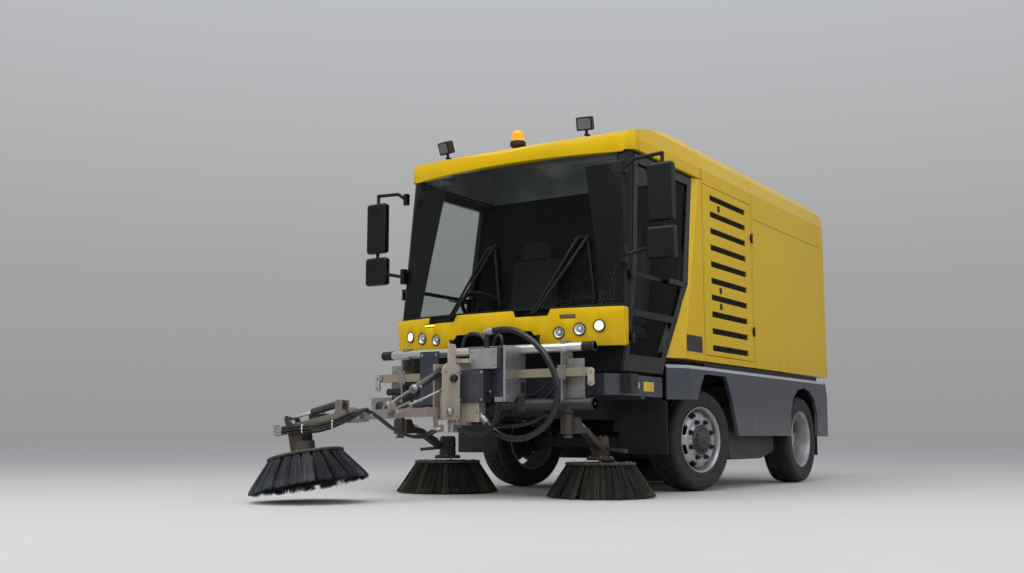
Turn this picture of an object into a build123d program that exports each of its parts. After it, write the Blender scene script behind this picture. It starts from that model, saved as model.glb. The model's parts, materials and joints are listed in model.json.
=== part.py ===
from build123d import *
import math
import os

# Compact street sweeper truck with two side brooms and a front weed/gutter
# broom on a jointed boom.
# Frame: the cab faces -Y, +X is the vehicle's left, +Z up, ground at z = 0.
# All numbers below are written from the front axle (y = 0) and the centre
# plane (x = 0); ORIGIN_Y moves everything so that the origin sits under the
# middle of the whole machine.

# ---------------------------------------------------------------- dimensions
ORIGIN_Y = 129.0            # front axle's y in the exported frame

WHEELBASE = 2080.0
AXLE_Z = 405.0
TYRE_R = 405.0              # loaded radius of the 19.5 inch tyre
TYRE_HALF_W = 131.0
RIM_R = 260.0               # radius of the rim flange
FRONT_TRACK_X = 809.0       # wheel centre plane, front, at straight ahead
REAR_TRACK_X = 896.5
KINGPIN_X = 744.0
STEER_DEG = -12.16          # wheels as parked, turned to the vehicle's right

BODY_X = 1032.0             # half width of the yellow body
BODY_Z0 = 1021.0            # its lower edge
BODY_Z1 = 2575.0            # where the side starts to lean in
ROOF_Z = 2800.0             # roof crown
SEAM_Y = -170.0             # cab / engine bay seam
HOPPER_Y0 = 905.0
GATE_Y0 = 2760.0
BODY_Y1 = 2992.0
WALL = 38.0                 # body wall thickness

SKIRT_X = 1057.0
SKIRT_Z1 = 972.0
SKIRT_T = 30.0

CAB_FLOOR_Z = 885.0
CAB_ROOF_Z = 2490.0
CAB_Y1 = -176.0
GLASS_Z0 = 1352.0
GLASS_Z1 = 2470.0
GLASS_T = 10.0
DOOR_T = 42.0

BAR_Z, BAR_Y, BAR_R, BAR_X = 1040.0, -1767.0, 33.0, 925.0
TUBE_Z, TUBE_Y, TUBE_S = 865.0, -1800.0, 58.0
LOW_Z, LOW_Y, LOW_R = 650.0, -1800.0, 41.0

BROOM_X, BROOM_Y = 682.0, -1267.0
BROOM_TOP_R, BROOM_BOT_R = 255.0, 397.0
BROOM_Z0, BROOM_Z1 = 6.0, 236.0

MAST_X, MAST_Y = -92.0, -2012.0       # boom swing post
BOOM_Z = 604.0                        # boom foot pin
ELBOW = (-305.0, -2812.0)
BOOM_Z2 = 568.0
BOOM_U = -27.0              # the boom's middle beside the post, mast frame
REACH = math.hypot(ELBOW[0] - MAST_X, ELBOW[1] - MAST_Y)
ELBOW_V = -math.sqrt(REACH ** 2 - BOOM_U ** 2)          # elbow, mast frame
# degrees; the mast is turned towards the elbow
MAST_YAW = math.degrees(math.atan2(ELBOW[1] - MAST_Y, ELBOW[0] - MAST_X) -
                        math.atan2(ELBOW_V, BOOM_U))
TILT_PIN = (-708.6, -2849.0, 455.0)   # front broom's tilting pin
TOW_R = 20.0                # bore of the rear towing eye
FB = (-680.0, -2850.0, 308.0)         # front broom: centre of its top plate
FB_N = (-0.194, -0.02, 1.0)           # its leaning axis

os.makedirs("parts", exist_ok=True)


# ------------------------------------------------------------------- helpers
def bx(x0, x1, y0, y1, z0, z1):
    return Pos((x0 + x1) / 2, (y0 + y1) / 2, (z0 + z1) / 2) * Box(
        abs(x1 - x0), abs(y1 - y0), abs(z1 - z0))


def rod(p0, p1, r):
    """Cylinder of radius r from p0 to p1."""
    a, b = Vector(*p0), Vector(*p1)
    return Plane(origin=a, z_dir=b - a) * Cylinder(
        r, (b - a).length, align=(Align.CENTER, Align.CENTER, Align.MIN))


def pipe(p0, p1, r, wall):
    a, b = Vector(*p0), Vector(*p1)
    d = (b - a).normalized()
    return rod(p0, p1, r) - rod(tuple(a - d), tuple(b + d), r - wall)


def prism(plane, pts, depth):
    with BuildLine() as _ln:
        Polyline(*pts, close=True)
    return extrude(plane * make_face(_ln.line), depth)


def prism_x(pts, x0, x1):
    """pts are (y, z)."""
    return prism(Plane.YZ.offset(x0), pts, x1 - x0)


def prism_y(pts, y0, y1):
    """pts are (x, z)."""
    return prism(Plane(origin=(0, y1, 0), x_dir=(1, 0, 0), z_dir=(0, -1, 0)),
                 pts, y1 - y0)


def prism_z(pts, z0, z1):
    """pts are (x, y)."""
    return prism(Plane.XY.offset(z0), pts, z1 - z0)


def bar_link(p0, p1, w, h, up=(0, 0, 1)):
    """Rectangular bar from p0 to p1, h along up, w across."""
    a, b = Vector(*p0), Vector(*p1)
    d = (b - a).normalized()
    side = Vector(*up).cross(d).normalized()
    pl = Plane(origin=(a + b) * 0.5, x_dir=side, z_dir=d)
    return pl * Box(w, h, (b - a).length)


def mirror_x(shape):
    return mirror(shape, about=Plane.YZ)


def tube_path(pts, radii, r):
    """Round hose along straight runs joined by tangent arcs."""
    vs = [Vector(*p) for p in pts]
    turns = [(vs[i] - vs[i - 1]).get_angle(vs[i + 1] - vs[i])
             for i in range(1, len(vs) - 1)]
    runs = [(vs[i + 1] - vs[i]).length for i in range(len(vs) - 1)]
    if radii is None:
        radii = [0.45 * min(runs[i], runs[i + 1]) /
                 math.tan(math.radians(turns[i]) / 2)
                 for i in range(len(turns))]
    path = FilletPolyline(*vs, radius=radii)
    d0 = vs[1] - vs[0]
    prof = Plane(origin=vs[0], z_dir=d0) * Circle(r)
    solid = sweep(prof, path=path)
    print("   hose radii", [round(a) for a in radii], "turns",
          [round(t) for t in turns], "length", round(path.length),
          "vol ratio", round(solid.volume / (math.pi * r * r * path.length), 4))
    return solid


PARTS = {}


def put(name, shape):
    """Keep a node; shapes are in vehicle numbers, moved at export."""
    if isinstance(shape, (list, tuple)):
        shape = Compound(children=list(shape))
    PARTS[name] = shape
    moved = Pos(0, ORIGIN_Y, 0) * shape
    export_step(moved, f"parts/{name}.step")


def both(shape):
    """A piece and its mirror image, as one node."""
    return [shape, mirror_x(shape)]


# ------------------------------------------------------------ body sections
def body_section(off=0.0):
    """Cross section of the tall body, inset by off; lines and arcs."""
    x, z0, z1, zr = BODY_X - off, BODY_Z0 + off, BODY_Z1, ROOF_Z - off
    with BuildSketch(Plane.XZ) as s:
        with BuildLine():
            a = (x, z0)
            b = (x, z1)
            c = (x - 36, z1 + 130)
            d = (x - 90, zr - 24)
            Polyline((-d[0], d[1]), (-c[0], c[1]), (-b[0], b[1]),
                     (-a[0], a[1]), a, b, c, d)
            ThreePointArc(d, (0, zr), (-d[0], d[1]))
        make_face()
        vs = s.vertices()
        fillet([v for v in vs if abs(abs(v.X) - d[0]) < 1 and v.Z > zr - 60],
               radius=max(55 - off, 20))
        vs = s.vertices()
        fillet([v for v in vs if abs(v.Z - z1) < 1], radius=160)
        vs = s.vertices()
        fillet([v for v in vs if abs(v.Z - z0) < 1], radius=max(42 - off, 8))
    return s.sketch


def body_length(y0, y1, off=0.0):
    """The body section swept from y0 to y1."""
    return Pos(0, y1, 0) * extrude(body_section(off), y1 - y0)


# ------------------------------------------------------------------- chassis
# rails: x, y0, y1 of each straight length of box section
rails = []
for s in (-1, 1):
    rails.append(bx(s * 330, s * 410, -1560, 2700, 560, 740))
cross_y = (-1380, -700, -330, 560, 1300, 1700, 2420, 2660)
frame = rails[0] + rails[1]
for y in cross_y:
    frame += bx(-335, 335, y - 35, y + 35, 580, 718)
frame -= bx(-420, 420, -1600, -1340, 718, 760)
for s in (-1, 1):
    # upper subframe that the body stands on, with its body rests
    frame += bx(s * 345, s * 395, -160, 2740, 739, 985)
    frame += bx(s * 345, s * 395, -158, -135, 980, BODY_Z0)
    frame += bx(s * 345, s * 395, 874, 894, 980, BODY_Z0)
    frame += bx(s * 335, s * 405, 1420, 1500, 980, BODY_Z0 - 1)
    frame += bx(s * 335, s * 405, 2280, 2360, 980, BODY_Z0 - 1)
    # cab mounts
    for y in (-1290, -300):
        frame += bx(s * 345, s * 395, y - 35, y + 35, 739, CAB_FLOOR_Z)
# rear cross beam with the hopper's hinge lugs and the towing eye
frame += bx(-640, 640, 2660, 2740, 800, 985)
frame += prism_z([(-70, 2735), (-40, 2835), (-20, 2852), (20, 2852), (40, 2835),
                  (70, 2735)], 865, 895)
frame -= rod((0, 2812, 850), (0, 2812, 910), TOW_R)
for s in (-1, 1):
    frame += prism_x([(2700, 800), (2700, 985), (2860, 1010), (2893, 1000),
                      (2893, 955), (2780, 800)], min(s * 560, s * 600),
                     max(s * 560, s * 600))
# outriggers that carry the skirts
for y in (520, 1500, 2560):
    frame += bx(-1027, 1027, y - 25, y + 25, 890, 950)
# dark closing strips between the body's lower edge and the skirts
for s in (-1, 1):
    frame += bx(s * 988, s * 1000, 430, 2640, 935, BODY_Z0 - 5)
    frame += bx(s * 988, s * 1000, -130, 440, 960, BODY_Z0 - 5)
for s in (-1, 1):
    frame -= rod((s * 580 - 30, 2866, 982), (s * 580 + 30, 2866, 982), 12.05)
put("chassis_frame", frame)

# front axle beam, between the kingpins, on two springs
ax = bx(-640, 640, -55, 55, 340, 430)
for s in (-1, 1):
    ax += bx(s * 600, s * 690, -60, 60, 325, 345)
    ax += bx(s * 600, s * 690, -60, 60, 465, 485)
    ax += bx(s * 600, s * 645, -60, 60, 325, 485)
    ax += rod((s * KINGPIN_X, 0, 300), (s * KINGPIN_X, 0, 344), 38)
    ax += rod((s * KINGPIN_X, 0, 466), (s * KINGPIN_X, 0, 510), 38)
    ax += bx(s * 660, s * KINGPIN_X, -38, 38, 300, 344)
    ax += bx(s * 660, s * KINGPIN_X, -38, 38, 466, 510)
    ax += rod((s * KINGPIN_X, 0, 340), (s * KINGPIN_X, 0, 470), 17.95)
    # leaf spring and its seat
    ax += bx(s * 335, s * 405, -70, 70, 428, 470)
    ax += bx(s * 340, s * 400, -420, 420, 468, 505)
    for yy in (-400, 400):
        ax += bx(s * 345, s * 395, yy - 20, yy + 20, 500, 560)
put("front_axle", ax)

# rear axle: banjo housing, drums and stub axles turned about the axle line
with BuildSketch(Plane.XY) as rax:
    with BuildLine():
        Polyline((-818, 0), (-818, 29.95), (-795, 29.95), (-795, 120),
                 (-705, 120), (-705, 62), (-190, 62), (-110, 135), (-50, 168),
                 (50, 168), (110, 135), (190, 62), (705, 62), (705, 120),
                 (795, 120), (795, 29.95), (818, 29.95), (818, 0), close=True)
    make_face()
ra = Pos(0, WHEELBASE, AXLE_Z) * revolve(rax.sketch, axis=Axis.X)
for s in (-1, 1):
    ra += bx(s * 335, s * 405, WHEELBASE - 70, WHEELBASE + 70, 430, 505)
    ra += bx(s * 340, s * 400, WHEELBASE - 480, WHEELBASE + 480, 488, 520)
    for yy in (-455, 455):
        ra += bx(s * 345, s * 395, WHEELBASE + yy - 20, WHEELBASE + yy + 20,
                 515, 560)
put("rear_axle", ra)

put("engine_block", bx(-320, 320, -60, 780, 1060, 1750) +
    bx(-345, 345, 40, 660, 950, 1062))

# -------------------------------------------------------------------- skirts
# side profile (y, z) of the left skirt, with its front wheel arch
SIDE = [(-521, 972), (2700, 972), (2748, 930), (2783, 824), (2765, 430),
        (2456, 430), (2456, 640), (2384, 780), (2250, 862), (2080, 890),
        (1910, 862), (1776, 780), (1704, 640), (1704, 436), (434, 436),
        (408, 470), (305, 720), (186, 902), (170, 914), (-240, 914),
        (-262, 902), (-352, 775), (-392, 712), (-640, 706), (-521, 972)]
wedge_pts = [(SKIRT_X, -521), (SKIRT_X, 2790), (SKIRT_X - SKIRT_T, 2790),
             (SKIRT_X - SKIRT_T, -512), (920, -716), (950, -716)]
sk_raw = prism_z([(SKIRT_X, -521), (SKIRT_X, 2790), (1027, 2790),
                  (1027, -505), (924, -693), (950, -716)], 430, SKIRT_Z1)
side_cut = prism_x(SIDE[:-2] + [(-790, 706), (-740, 972)], 870, 1070)
skirt = sk_raw & side_cut
# rear corner chamfer and rear return
skirt = skirt + (prism_z([(1057, 2640), (1057, 2700), (975, 2822),
                          (450, 2822), (450, 2792), (958, 2792),
                          (1027, 2690), (1027, 2640)], 560, SKIRT_Z1)
                 & bx(440, 1060, 2600, 2830, 560, 972))
# tapered lower edge of the rear corner
skirt = skirt - prism_x([(2740, 972 + 30), (2900, 972 + 30), (2900, 885)],
                        430, 1070)
skirt = skirt - bx(430, 660, 2780, 2840, 790, 980)
# pale sloping lip along the top edge and round the front facet
lip = prism_y([(SKIRT_X + 1, 944), (SKIRT_X + 1, 974), (SKIRT_X - 15, 974)],
              -522, 2702)
dv = Vector(950 - SKIRT_X, -716 + 521, 0).normalized()
nv = Vector(-dv.Y, dv.X, 0)
lip2 = prism(Plane(origin=Vector(SKIRT_X, -521, 0) - dv * 4, x_dir=nv, z_dir=dv),
             [(1, 944), (1, 974), (-15, 974)], 240)
skirt = skirt - lip - lip2
put("side_skirts", both(skirt))

# front bumper under the cab doors: front beam and two side returns
fb_out = [(-950, -790), (-950, -1440), (-880, -1560), (880, -1560),
          (950, -1440), (950, -790), (905, -790), (905, -1425),
          (850, -1515), (-850, -1515), (-905, -1425), (-905, -790)]
bumper = prism_z(fb_out, 718, 866)
bumper = prism_z(fb_out, 718, 866)
bumper = bumper + bx(-905, 905, -850, -790, 760, 860)
for s in (-1, 1):
    bumper += bx(s * 410, s * 910, -1100, -1040, 700, 760)
    bumper += bx(s * 870, s * 930, -1100, -1040, 700, 730)
# rubber corner buffers and marker stubs on the side returns
for s in (-1, 1):
    bumper += Pos(s * 985, -1395, 800) * Box(90, 110, 130)
    bumper += rod((s * 945, -1255, 790), (s * 985, -1255, 790), 24)
put("front_bumper", bumper)

# tanks below the frame between the axles
tank = prism_z([(-930, 520), (930, 520), (930, 1560), (700, 1640),
                (-700, 1640), (-930, 1560)], 238, 560)
tank = tank - bx(-440, 440, 640, 1700, 230, 561)
tank = tank - prism_x([(1223, 200), (1223, 238), (1503, 290), (1640, 345),
                       (1700, 345), (1700, 200)], -1000, 1000)
put("belly_tank", tank)

# suction mouth between the axles with its duct up into the hopper floor
noz = prism_x([(900, 30), (1330, 30), (1330, 120), (1190, 330), (1040, 330),
               (900, 150)], -400, 400)
noz -= prism_x([(912, 20), (1318, 20), (1318, 116), (1184, 318), (1046, 318),
                (912, 146)], -388, 388)
noz = noz + rod((0, 1115, 315), (0, 1115, 990), 130)
noz = noz + bx(-330, 330, 1095, 1135, 600, 640)
noz = noz - rod((0, 1115, 300), (0, 1115, 1000), 122)
put("suction_nozzle", noz)

# -------------------------------------------------------------------- mudflaps
flap = prism_y([(560, 300), (960, 300), (960, 690), (905, 716), (905, 790),
                (560, 790)], -745, -733)
flap = flap + bx(560, 905, -790, -745, 762, 790)
flap_r = prism_y([(700, 250), (1010, 250), (1010, 640), (700, 640)], 2560, 2572)
flap_r = flap_r + bx(410, 1010, 2572, 2590, 600, 660)
put("mudflaps", [flap, mirror_x(flap), flap_r, mirror_x(flap_r)])

# ------------------------------------------------------------------------ cab
# half widths of the cab side at a few heights (z, x)
CAB_SIDE = [(CAB_FLOOR_Z, 942), (1064, 968), (1340, 1000), (1620, 1016),
            (CAB_ROOF_Z, 1004)]


def cab_section(off=0.0, z_lo=CAB_FLOOR_Z, z_hi=CAB_ROOF_Z):
    """Closed outline (x, z) of the cab, inset by off."""
    def xa(z):
        for (za, a), (zb, b) in zip(CAB_SIDE, CAB_SIDE[1:]):
            if za <= z <= zb:
                return a + (b - a) * (z - za) / (zb - za)
        return CAB_SIDE[-1][1] if z > CAB_SIDE[-1][0] else CAB_SIDE[0][1]
    zs = [z_lo] + [z for z, _ in CAB_SIDE if z_lo < z < z_hi] + [z_hi]
    right = [(xa(z) - off, z) for z in zs]
    return right + [(-x, z) for x, z in reversed(right)]


def cab_plan(off=0.0, half=1030.0, y_corner=-1510.0, y_mid=-1640.0, rad=110.0,
             z=1340.0):
    """Plan outline of the cab front at height z: one bowed front edge with
    rounded corners."""
    x, yc, ym = half - off, y_corner + off, y_mid + off
    with BuildSketch(Plane.XY.offset(z)) as s:
        with BuildLine():
            Polyline((x, yc), (x, 0), (-x, 0), (-x, yc))
            ThreePointArc((-x, yc), (0, ym), (x, yc))
        make_face()
        fillet([v for v in s.vertices() if abs(v.Y - yc) < 1], radius=rad - off * .6)
    return s.sketch


LEAN = 0.128                # how far the front leans back per unit of height


def leaning_front(off, z0, z1, half, rad=110.0, y_corner=-1478.0,
                  y_mid=-1622.0):
    """Solid behind the leaning, bowed windscreen plane."""
    f = cab_plan(off, half, y_corner, y_mid, rad, z0)
    return extrude(f, (z1 - z0) * math.sqrt(1 + LEAN * LEAN),
                   dir=(0, LEAN, 1))


def cab_body(off=0.0):
    """Outer volume of the cab between its floor and the roof joint; the
    lower front is a flat bulkhead, with a scuttle shelf out to the glass."""
    sec = prism_y(cab_section(off, CAB_FLOOR_Z + off, CAB_ROOF_Z),
                  -1800, CAB_Y1 - off)
    up = leaning_front(off, 1340, 2700, 1016)
    low = extrude(cab_plan(off, 1016, -1478, -1622, 110, 860), 490)
    if off:
        up = up & bx(-1100, 1100, -1800, 0, GLASS_Z0 - 2, 2800)
        low = low & bx(-1100, 1100, -1380, 0, 800, 1400)
    else:
        low = low & bx(-1100, 1100, -1425, 0, 800, 1400)
        up = up + extrude(cab_plan(0, 1016, -1478, -1622, 110, 1334), 6)
    return sec & (up + low)


shell = cab_body(0) - cab_body(55)
shell -= bx(-900, 900, -1400, -260, 2400, 2520)

# door outline in the side (y, z)
DOOR = [(-1395, 893), (-1402, 1340), (-1299, 2470), (-302, 2470),
        (-459, 1606), (-740, 1015), (-764, 893)]
door_hole = [(-1401, 884), (-1408, 1340), (-1306, 2478), (-296, 2478),
             (-453, 1604), (-733, 1012), (-757, 884)]
for s in (-1, 1):
    shell -= prism_x(door_hole, min(s * 880, s * 1060), max(s * 880, s * 1060))
# windscreen opening: everything of the front skin ahead of the pillar line
shell -= prism_x([(-1800, GLASS_Z0 - 2), (-1462, GLASS_Z0 - 2),
                  (-1352, 2600), (-1800, 2600)], -1100, 1100)
# behind the door the wall stands back under the yellow side panels
for s in (-1, 1):
    shell -= prism_x([(-297, 2600), (-297, 2478), (-454, 1604), (-734, 1012),
                      (-734, 860), (-100, 860), (-100, 2600)],
                     min(s * 950, s * 1100), max(s * 950, s * 1100))
    shell -= bx(s * 915, s * 1100, -765, -100, 880, 1000)
# fixed halves of the door hinges with their pins
DOOR_AXIS = (1028.0, -1412.0)
for s in (-1, 1):
    for z, xi, yb in ((1120, 950, -1405), (1560, 992, -1397)):
        for a, b in ((31, 43), (-43, -31)):
            shell += bx(s * xi, s * 1038, -1424, yb, z + a, z + b)
        shell += rod((s * DOOR_AXIS[0], DOOR_AXIS[1], z - 43),
                     (s * DOOR_AXIS[0], DOOR_AXIS[1], z + 43), 6)
put("cab_shell", shell)

# windscreen
gl = (leaning_front(0, 1340, 2700, 1016) - leaning_front(GLASS_T, 1340, 2700, 1016))
gl &= prism_x([(-1800, GLASS_Z0), (-1464, GLASS_Z0), (-1364, GLASS_Z1),
               (-1800, GLASS_Z1)], -1100, 1100)
gl &= prism_y(cab_section(0, 1300, 2489), -1800, CAB_Y1)
put("windscreen", gl)

# cab roof cap: side profile, then trimmed to the body section
with BuildSketch(Plane.YZ.offset(-1100)) as rs:
    with BuildLine():
        l1 = Line((CAB_Y1, 2492), (CAB_Y1, 2795))
        l2 = Line((CAB_Y1, 2795), (-420, 2792))
        l3 = ThreePointArc((-420, 2792), (-980, 2716), (-1440, 2606))
        l4 = ThreePointArc((-1440, 2606), (-1512, 2572), (-1540, 2500))
        l5 = Line((-1540, 2500), (-1540, 2476))
        l6 = Line((-1540, 2476), (-1370, 2476))
        l7 = Line((-1370, 2476), (-1362, 2492))
        l8 = Line((-1362, 2492), (CAB_Y1, 2492))
    make_face()
roof_side = extrude(rs.sketch, 2200)
with BuildSketch(Plane.XZ) as rc:
    with BuildLine():
        Polyline((-950, 2776), (-1006, 2705), (-1030, 2575), (-1030, 2400),
                 (1030, 2400), (1030, 2575), (1006, 2705), (950, 2776))
        ThreePointArc((950, 2776), (0, 2796), (-950, 2776))
    make_face()
    fillet([v for v in rc.vertices() if abs(v.Z - 2776) < 1], radius=55)
    fillet([v for v in rc.vertices() if abs(v.Z - 2575) < 1], radius=160)
roof_sec = Pos(0, CAB_Y1, 0) * extrude(rc.sketch, 1500)
with BuildSketch(Plane.XY.offset(2400)) as rp:
    with BuildLine():
        Polyline((1030, -1340), (1030, 0), (-1030, 0), (-1030, -1340))
        ThreePointArc((-1030, -1340), (0, -1520), (1030, -1340))
    make_face()
    fillet([v for v in rp.vertices() if abs(v.Y + 1340) < 1], radius=120)
roof_plan = extrude(rp.sketch, 500)
roof = roof_side & roof_sec & roof_plan
roof_full = roof
roof_in = (Pos(0, 45, -42) * roof_side) & (
    bx(-560, 560, -1440, -230, 2400, 2900) + bx(-740, 740, -1380, -230, 2400, 2900) +
    bx(-955, 955, -1120, -230, 2400, 2900))
roof = roof - roof_in
put("cab_roof", roof)

# yellow quarter panels behind the doors
qp = prism_x([(-292, 2484), (-449, 1604), (-727, BODY_Z0), (CAB_Y1, BODY_Z0),
              (CAB_Y1, 2484)], 950, BODY_X)
# flared facet along its lower front edge
pa, pb, pc = Vector(1032, -560, 1021), Vector(1032, -418, 1640), Vector(951, -712, 1021)
nrm = (pb - pa).cross(pc - pa).normalized()
if nrm.Y > 0:
    nrm = nrm * -1
cutter = Plane(origin=pa, z_dir=nrm) * (Pos(0, 0, 400) * Box(3000, 3000, 800))
qp = qp - cutter
put("cab_side_panels", both(qp))

# lower cab front: yellow panel with lamps
with BuildSketch(Plane.XY.offset(1062)) as fp:
    with BuildLine():
        Polyline((1008, -1510), (1008, -1432), (-1008, -1432), (-1008, -1510))
        ThreePointArc((-1008, -1510), (0, -1655), (1008, -1510))
    make_face()
    fillet([v for v in fp.vertices() if abs(v.Y + 1510) < 1], radius=24)
panel = extrude(fp.sketch, 270)
# below a crease that rises outwards, the face leans back
with BuildSketch(Plane.XY.offset(1062)) as fl:
    with BuildLine():
        Polyline((1008, -1478), (1008, -1400), (-1008, -1400), (-1008, -1478))
        ThreePointArc((-1008, -1478), (0, -1645.6), (1008, -1478))
    make_face()
    fillet([v for v in fl.vertices() if abs(v.Y + 1478) < 1], radius=24)
leaning = extrude(fl.sketch, 270 * math.sqrt(1 + 0.14 * 0.14), dir=(0, -0.14, 1))
panel = panel & (leaning + bx(-1100, 1100, -1700, -1380, 1290, 1400))
panel -= prism_z([(-960, -1405), (960, -1405), (960, -1475), (600, -1560),
                  (0, -1605), (-600, -1560), (-960, -1475)], 1000, 1300)
# undercut lower corners and the dark recess in the middle
panel -= prism_y([(-1100, 1000), (-1100, 1120), (-985, 1062), (-430, 1062),
                  (-328, 1182), (328, 1182), (430, 1062), (985, 1062),
                  (1100, 1120), (1100, 1000)], -1700, -1400)
# wiper wells in its top edge
for xa, xb in ((-640, -300), (160, 520)):
    panel -= prism_y([(xa, 1400), (xa + 40, 1285), (xb - 60, 1285), (xb, 1400)],
                     -1700, -1560)
put("front_panel", panel)

# six round lamps and two indicators, set in the panel's face
LAMPS = [(839, 1200, 44), (698, 1180, 47), (545, 1160, 44)]      # x, z, radius


def face_y(x):
    """y of the bowed panel face at x."""
    R = 3576.0
    return -1655 + (R - math.sqrt(R * R - x * x))


lamps, lamp_holes = [], []
for x, z, r in LAMPS:
    for s in (-1, 1):
        yy = face_y(x)
        tilt = s * x / 3576.0
        d = Vector(math.sin(tilt), -math.cos(tilt), 0)
        c = Vector(s * x, yy + 9, z)
        lamps.append(rod(tuple(c - d * 60), tuple(c + d * 6), r))
        lamp_holes.append(rod(tuple(c - d * 60), tuple(c + d * 40), r))
for s in (-1, 1):
    c = Vector(s * 612, face_y(612), 1272)
    lamps.append(Pos(*c) * Rot(0, 0, math.degrees(s * 612 / 3576.0)) *
                 Box(120, 24, 28))
lamp_all = lamps[0]
for q in lamps[1:]:
    lamp_all = lamp_all + q
panel2 = PARTS["front_panel"]
for q in lamps + lamp_holes:
    panel2 = panel2 - q
put("front_panel", panel2)

# dashboard with column and wheel (driver on the vehicle's right)
dash = prism_x([(-1378, 1372), (-1378, 1215), (-1200, 1180), (-1165, 1235),
                (-1230, 1395)], -885, 885)
dash += bx(60, 640, -1250, -1120, 1135, 1330)
dash += bx(100, 180, -1300, -1200, 940, 1200)
col0, col1 = (-430, -1260, 1230), (-430, -1105, 1420)
dash += rod(col0, col1, 32)
pw = Plane(origin=col1, z_dir=Vector(*col1) - Vector(*col0))
sw = pw * Torus(205, 16)
sw += pw * Box(390, 34, 14)
sw += pw * Cylinder(46, 30)
dash += sw
put("dashboard", dash)

# two seats on their bases
seat = bx(-660, -200, -900, -440, 1190, 1320)
seat = fillet(seat.edges().filter_by(Axis.Z), 60)
back = Box(430, 110, 640)
back = Pos(-430, -400, 1620) * Rot(-10, 0, 0) * fillet(
    back.edges().filter_by(Axis.Y), 50)
headr = Pos(-430, -345, 2010) * Rot(-10, 0, 0) * Box(250, 90, 160)
base = bx(-600, -260, -840, -500, 940, 1195)
seat = seat + back + headr + base
seat += bx(-640, -220, -480, -400, 1230, 1420)
seat2 = Pos(860, 0, 0) * seat
put("seats", [seat, seat2])

# ----------------------------------------------------------------- cab doors
def cab_door():
    """Left door: frame with its pane, hinged on its front edge."""
    sec = prism_y(cab_section(0, 893, 2484), -1500, -200) - \
        prism_y(cab_section(DOOR_T, 860, 2520), -1600, -100)
    d = sec & prism_x(DOOR, 860, 1030)
    win = [(-1330, 1010), (-1335, 1345), (-1245, 2405), (-388, 2405),
           (-528, 1630), (-800, 1060), (-815, 1010)]
    d -= prism_x(win, 800, 1100)
    d += bx(930, 1000, -1345, -660, 1280, 1330) & sec & prism_x(DOOR, 860, 1030)
    # pull handle over the pane, fixed to the rear edge of the frame
    d += bar_link((1024, -800, 1590), (1024, -512, 1590), 18, 40)
    d += bx(1002, 1030, -545, -512, 1572, 1608) & prism_x(DOOR, 860, 1040)
    # inner waist rail that carries the front end of the handle
    d += bx(974, 989, -1345, -500, 1575, 1605) & prism_x(DOOR, 860, 1030)
    d += rod((984, -790, 1590), (1022, -790, 1590), 9)
    sec_g = prism_y(cab_section(14, 893, 2484), -1500, -200) - \
        prism_y(cab_section(22, 860, 2520), -1600, -100)
    g_up = [(-1334, 1331), (-1244, 2404), (-390, 2404), (-529, 1631),
            (-673, 1331)]
    g_lo = [(-1329, 1011), (-1333, 1279), (-697, 1279), (-802, 1061),
            (-817, 1011)]
    hole = rod((960, -790, 1590), (1060, -790, 1590), 9.3)
    pane = (sec_g & prism_x(g_up, 800, 1100)) - hole
    pane2 = (sec_g & prism_x(g_lo, 800, 1100))
    return d, pane, pane2


d, g1, g2 = cab_door()
# moving halves of the hinges
for z, xa, ya, yb in ((1120, 968, -1398, -1375), (1560, 1000, -1383, -1360)):
    d += bx(xa, 1026, ya, yb, z - 26, z + 26)
    d += bx(1014, 1030, -1405, yb, z - 26, z + 26)
    d += rod((DOOR_AXIS[0], DOOR_AXIS[1], z - 29),
             (DOOR_AXIS[0], DOOR_AXIS[1], z + 29), 13)
    d -= rod((DOOR_AXIS[0], DOOR_AXIS[1], z - 40),
             (DOOR_AXIS[0], DOOR_AXIS[1], z + 40), 6.05)
put("cab_door_left", d)
put("cab_door_right", mirror_x(d))
glz = [g1, g2]
put("door_glass_left", glz)
put("door_glass_right", [mirror_x(g) for g in glz])

# ------------------------------------------------------------------- mirrors
mir = []
for s in (1,):
    x0 = 985
    # bracket on the pillar, tube loop out and down, heads
    m = bx(975, 1012, -1478, -1430, 1640, 1760)
    m += bx(975, 1012, -1452, -1415, 2290, 2380)
    tubes = [((1005, -1432, 2340), (1080, -1432, 2390)),
             ((1080, -1432, 2390), (1290, -1432, 2400)),
             ((1290, -1432, 2400), (1290, -1432, 1760)),
             ((1290, -1432, 1760), (1005, -1455, 1700))]
    for a, b in tubes:
        m += rod(a, b, 14)
        m += Pos(*b) * Sphere(14)
    big = fillet(bx(1186, 1382, -1478, -1408, 1915, 2330).edges(), 24)
    low = fillet(bx(1170, 1390, -1478, -1412, 1650, 1880).edges(), 26)
    m += big
    m += low
    m = m - PARTS["cab_shell"] - PARTS["windscreen"]
    mir.append(m)
put("mirrors", [mir[0], mirror_x(mir[0])])

# -------------------------------------------------------------------- wipers
def glass_y(x, z):
    """y of the leaning, bowed windscreen face."""
    R = 3656.0
    return -1622 + (R - math.sqrt(R * R - x * x)) + LEAN * (z - 1340)


wip = []
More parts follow.
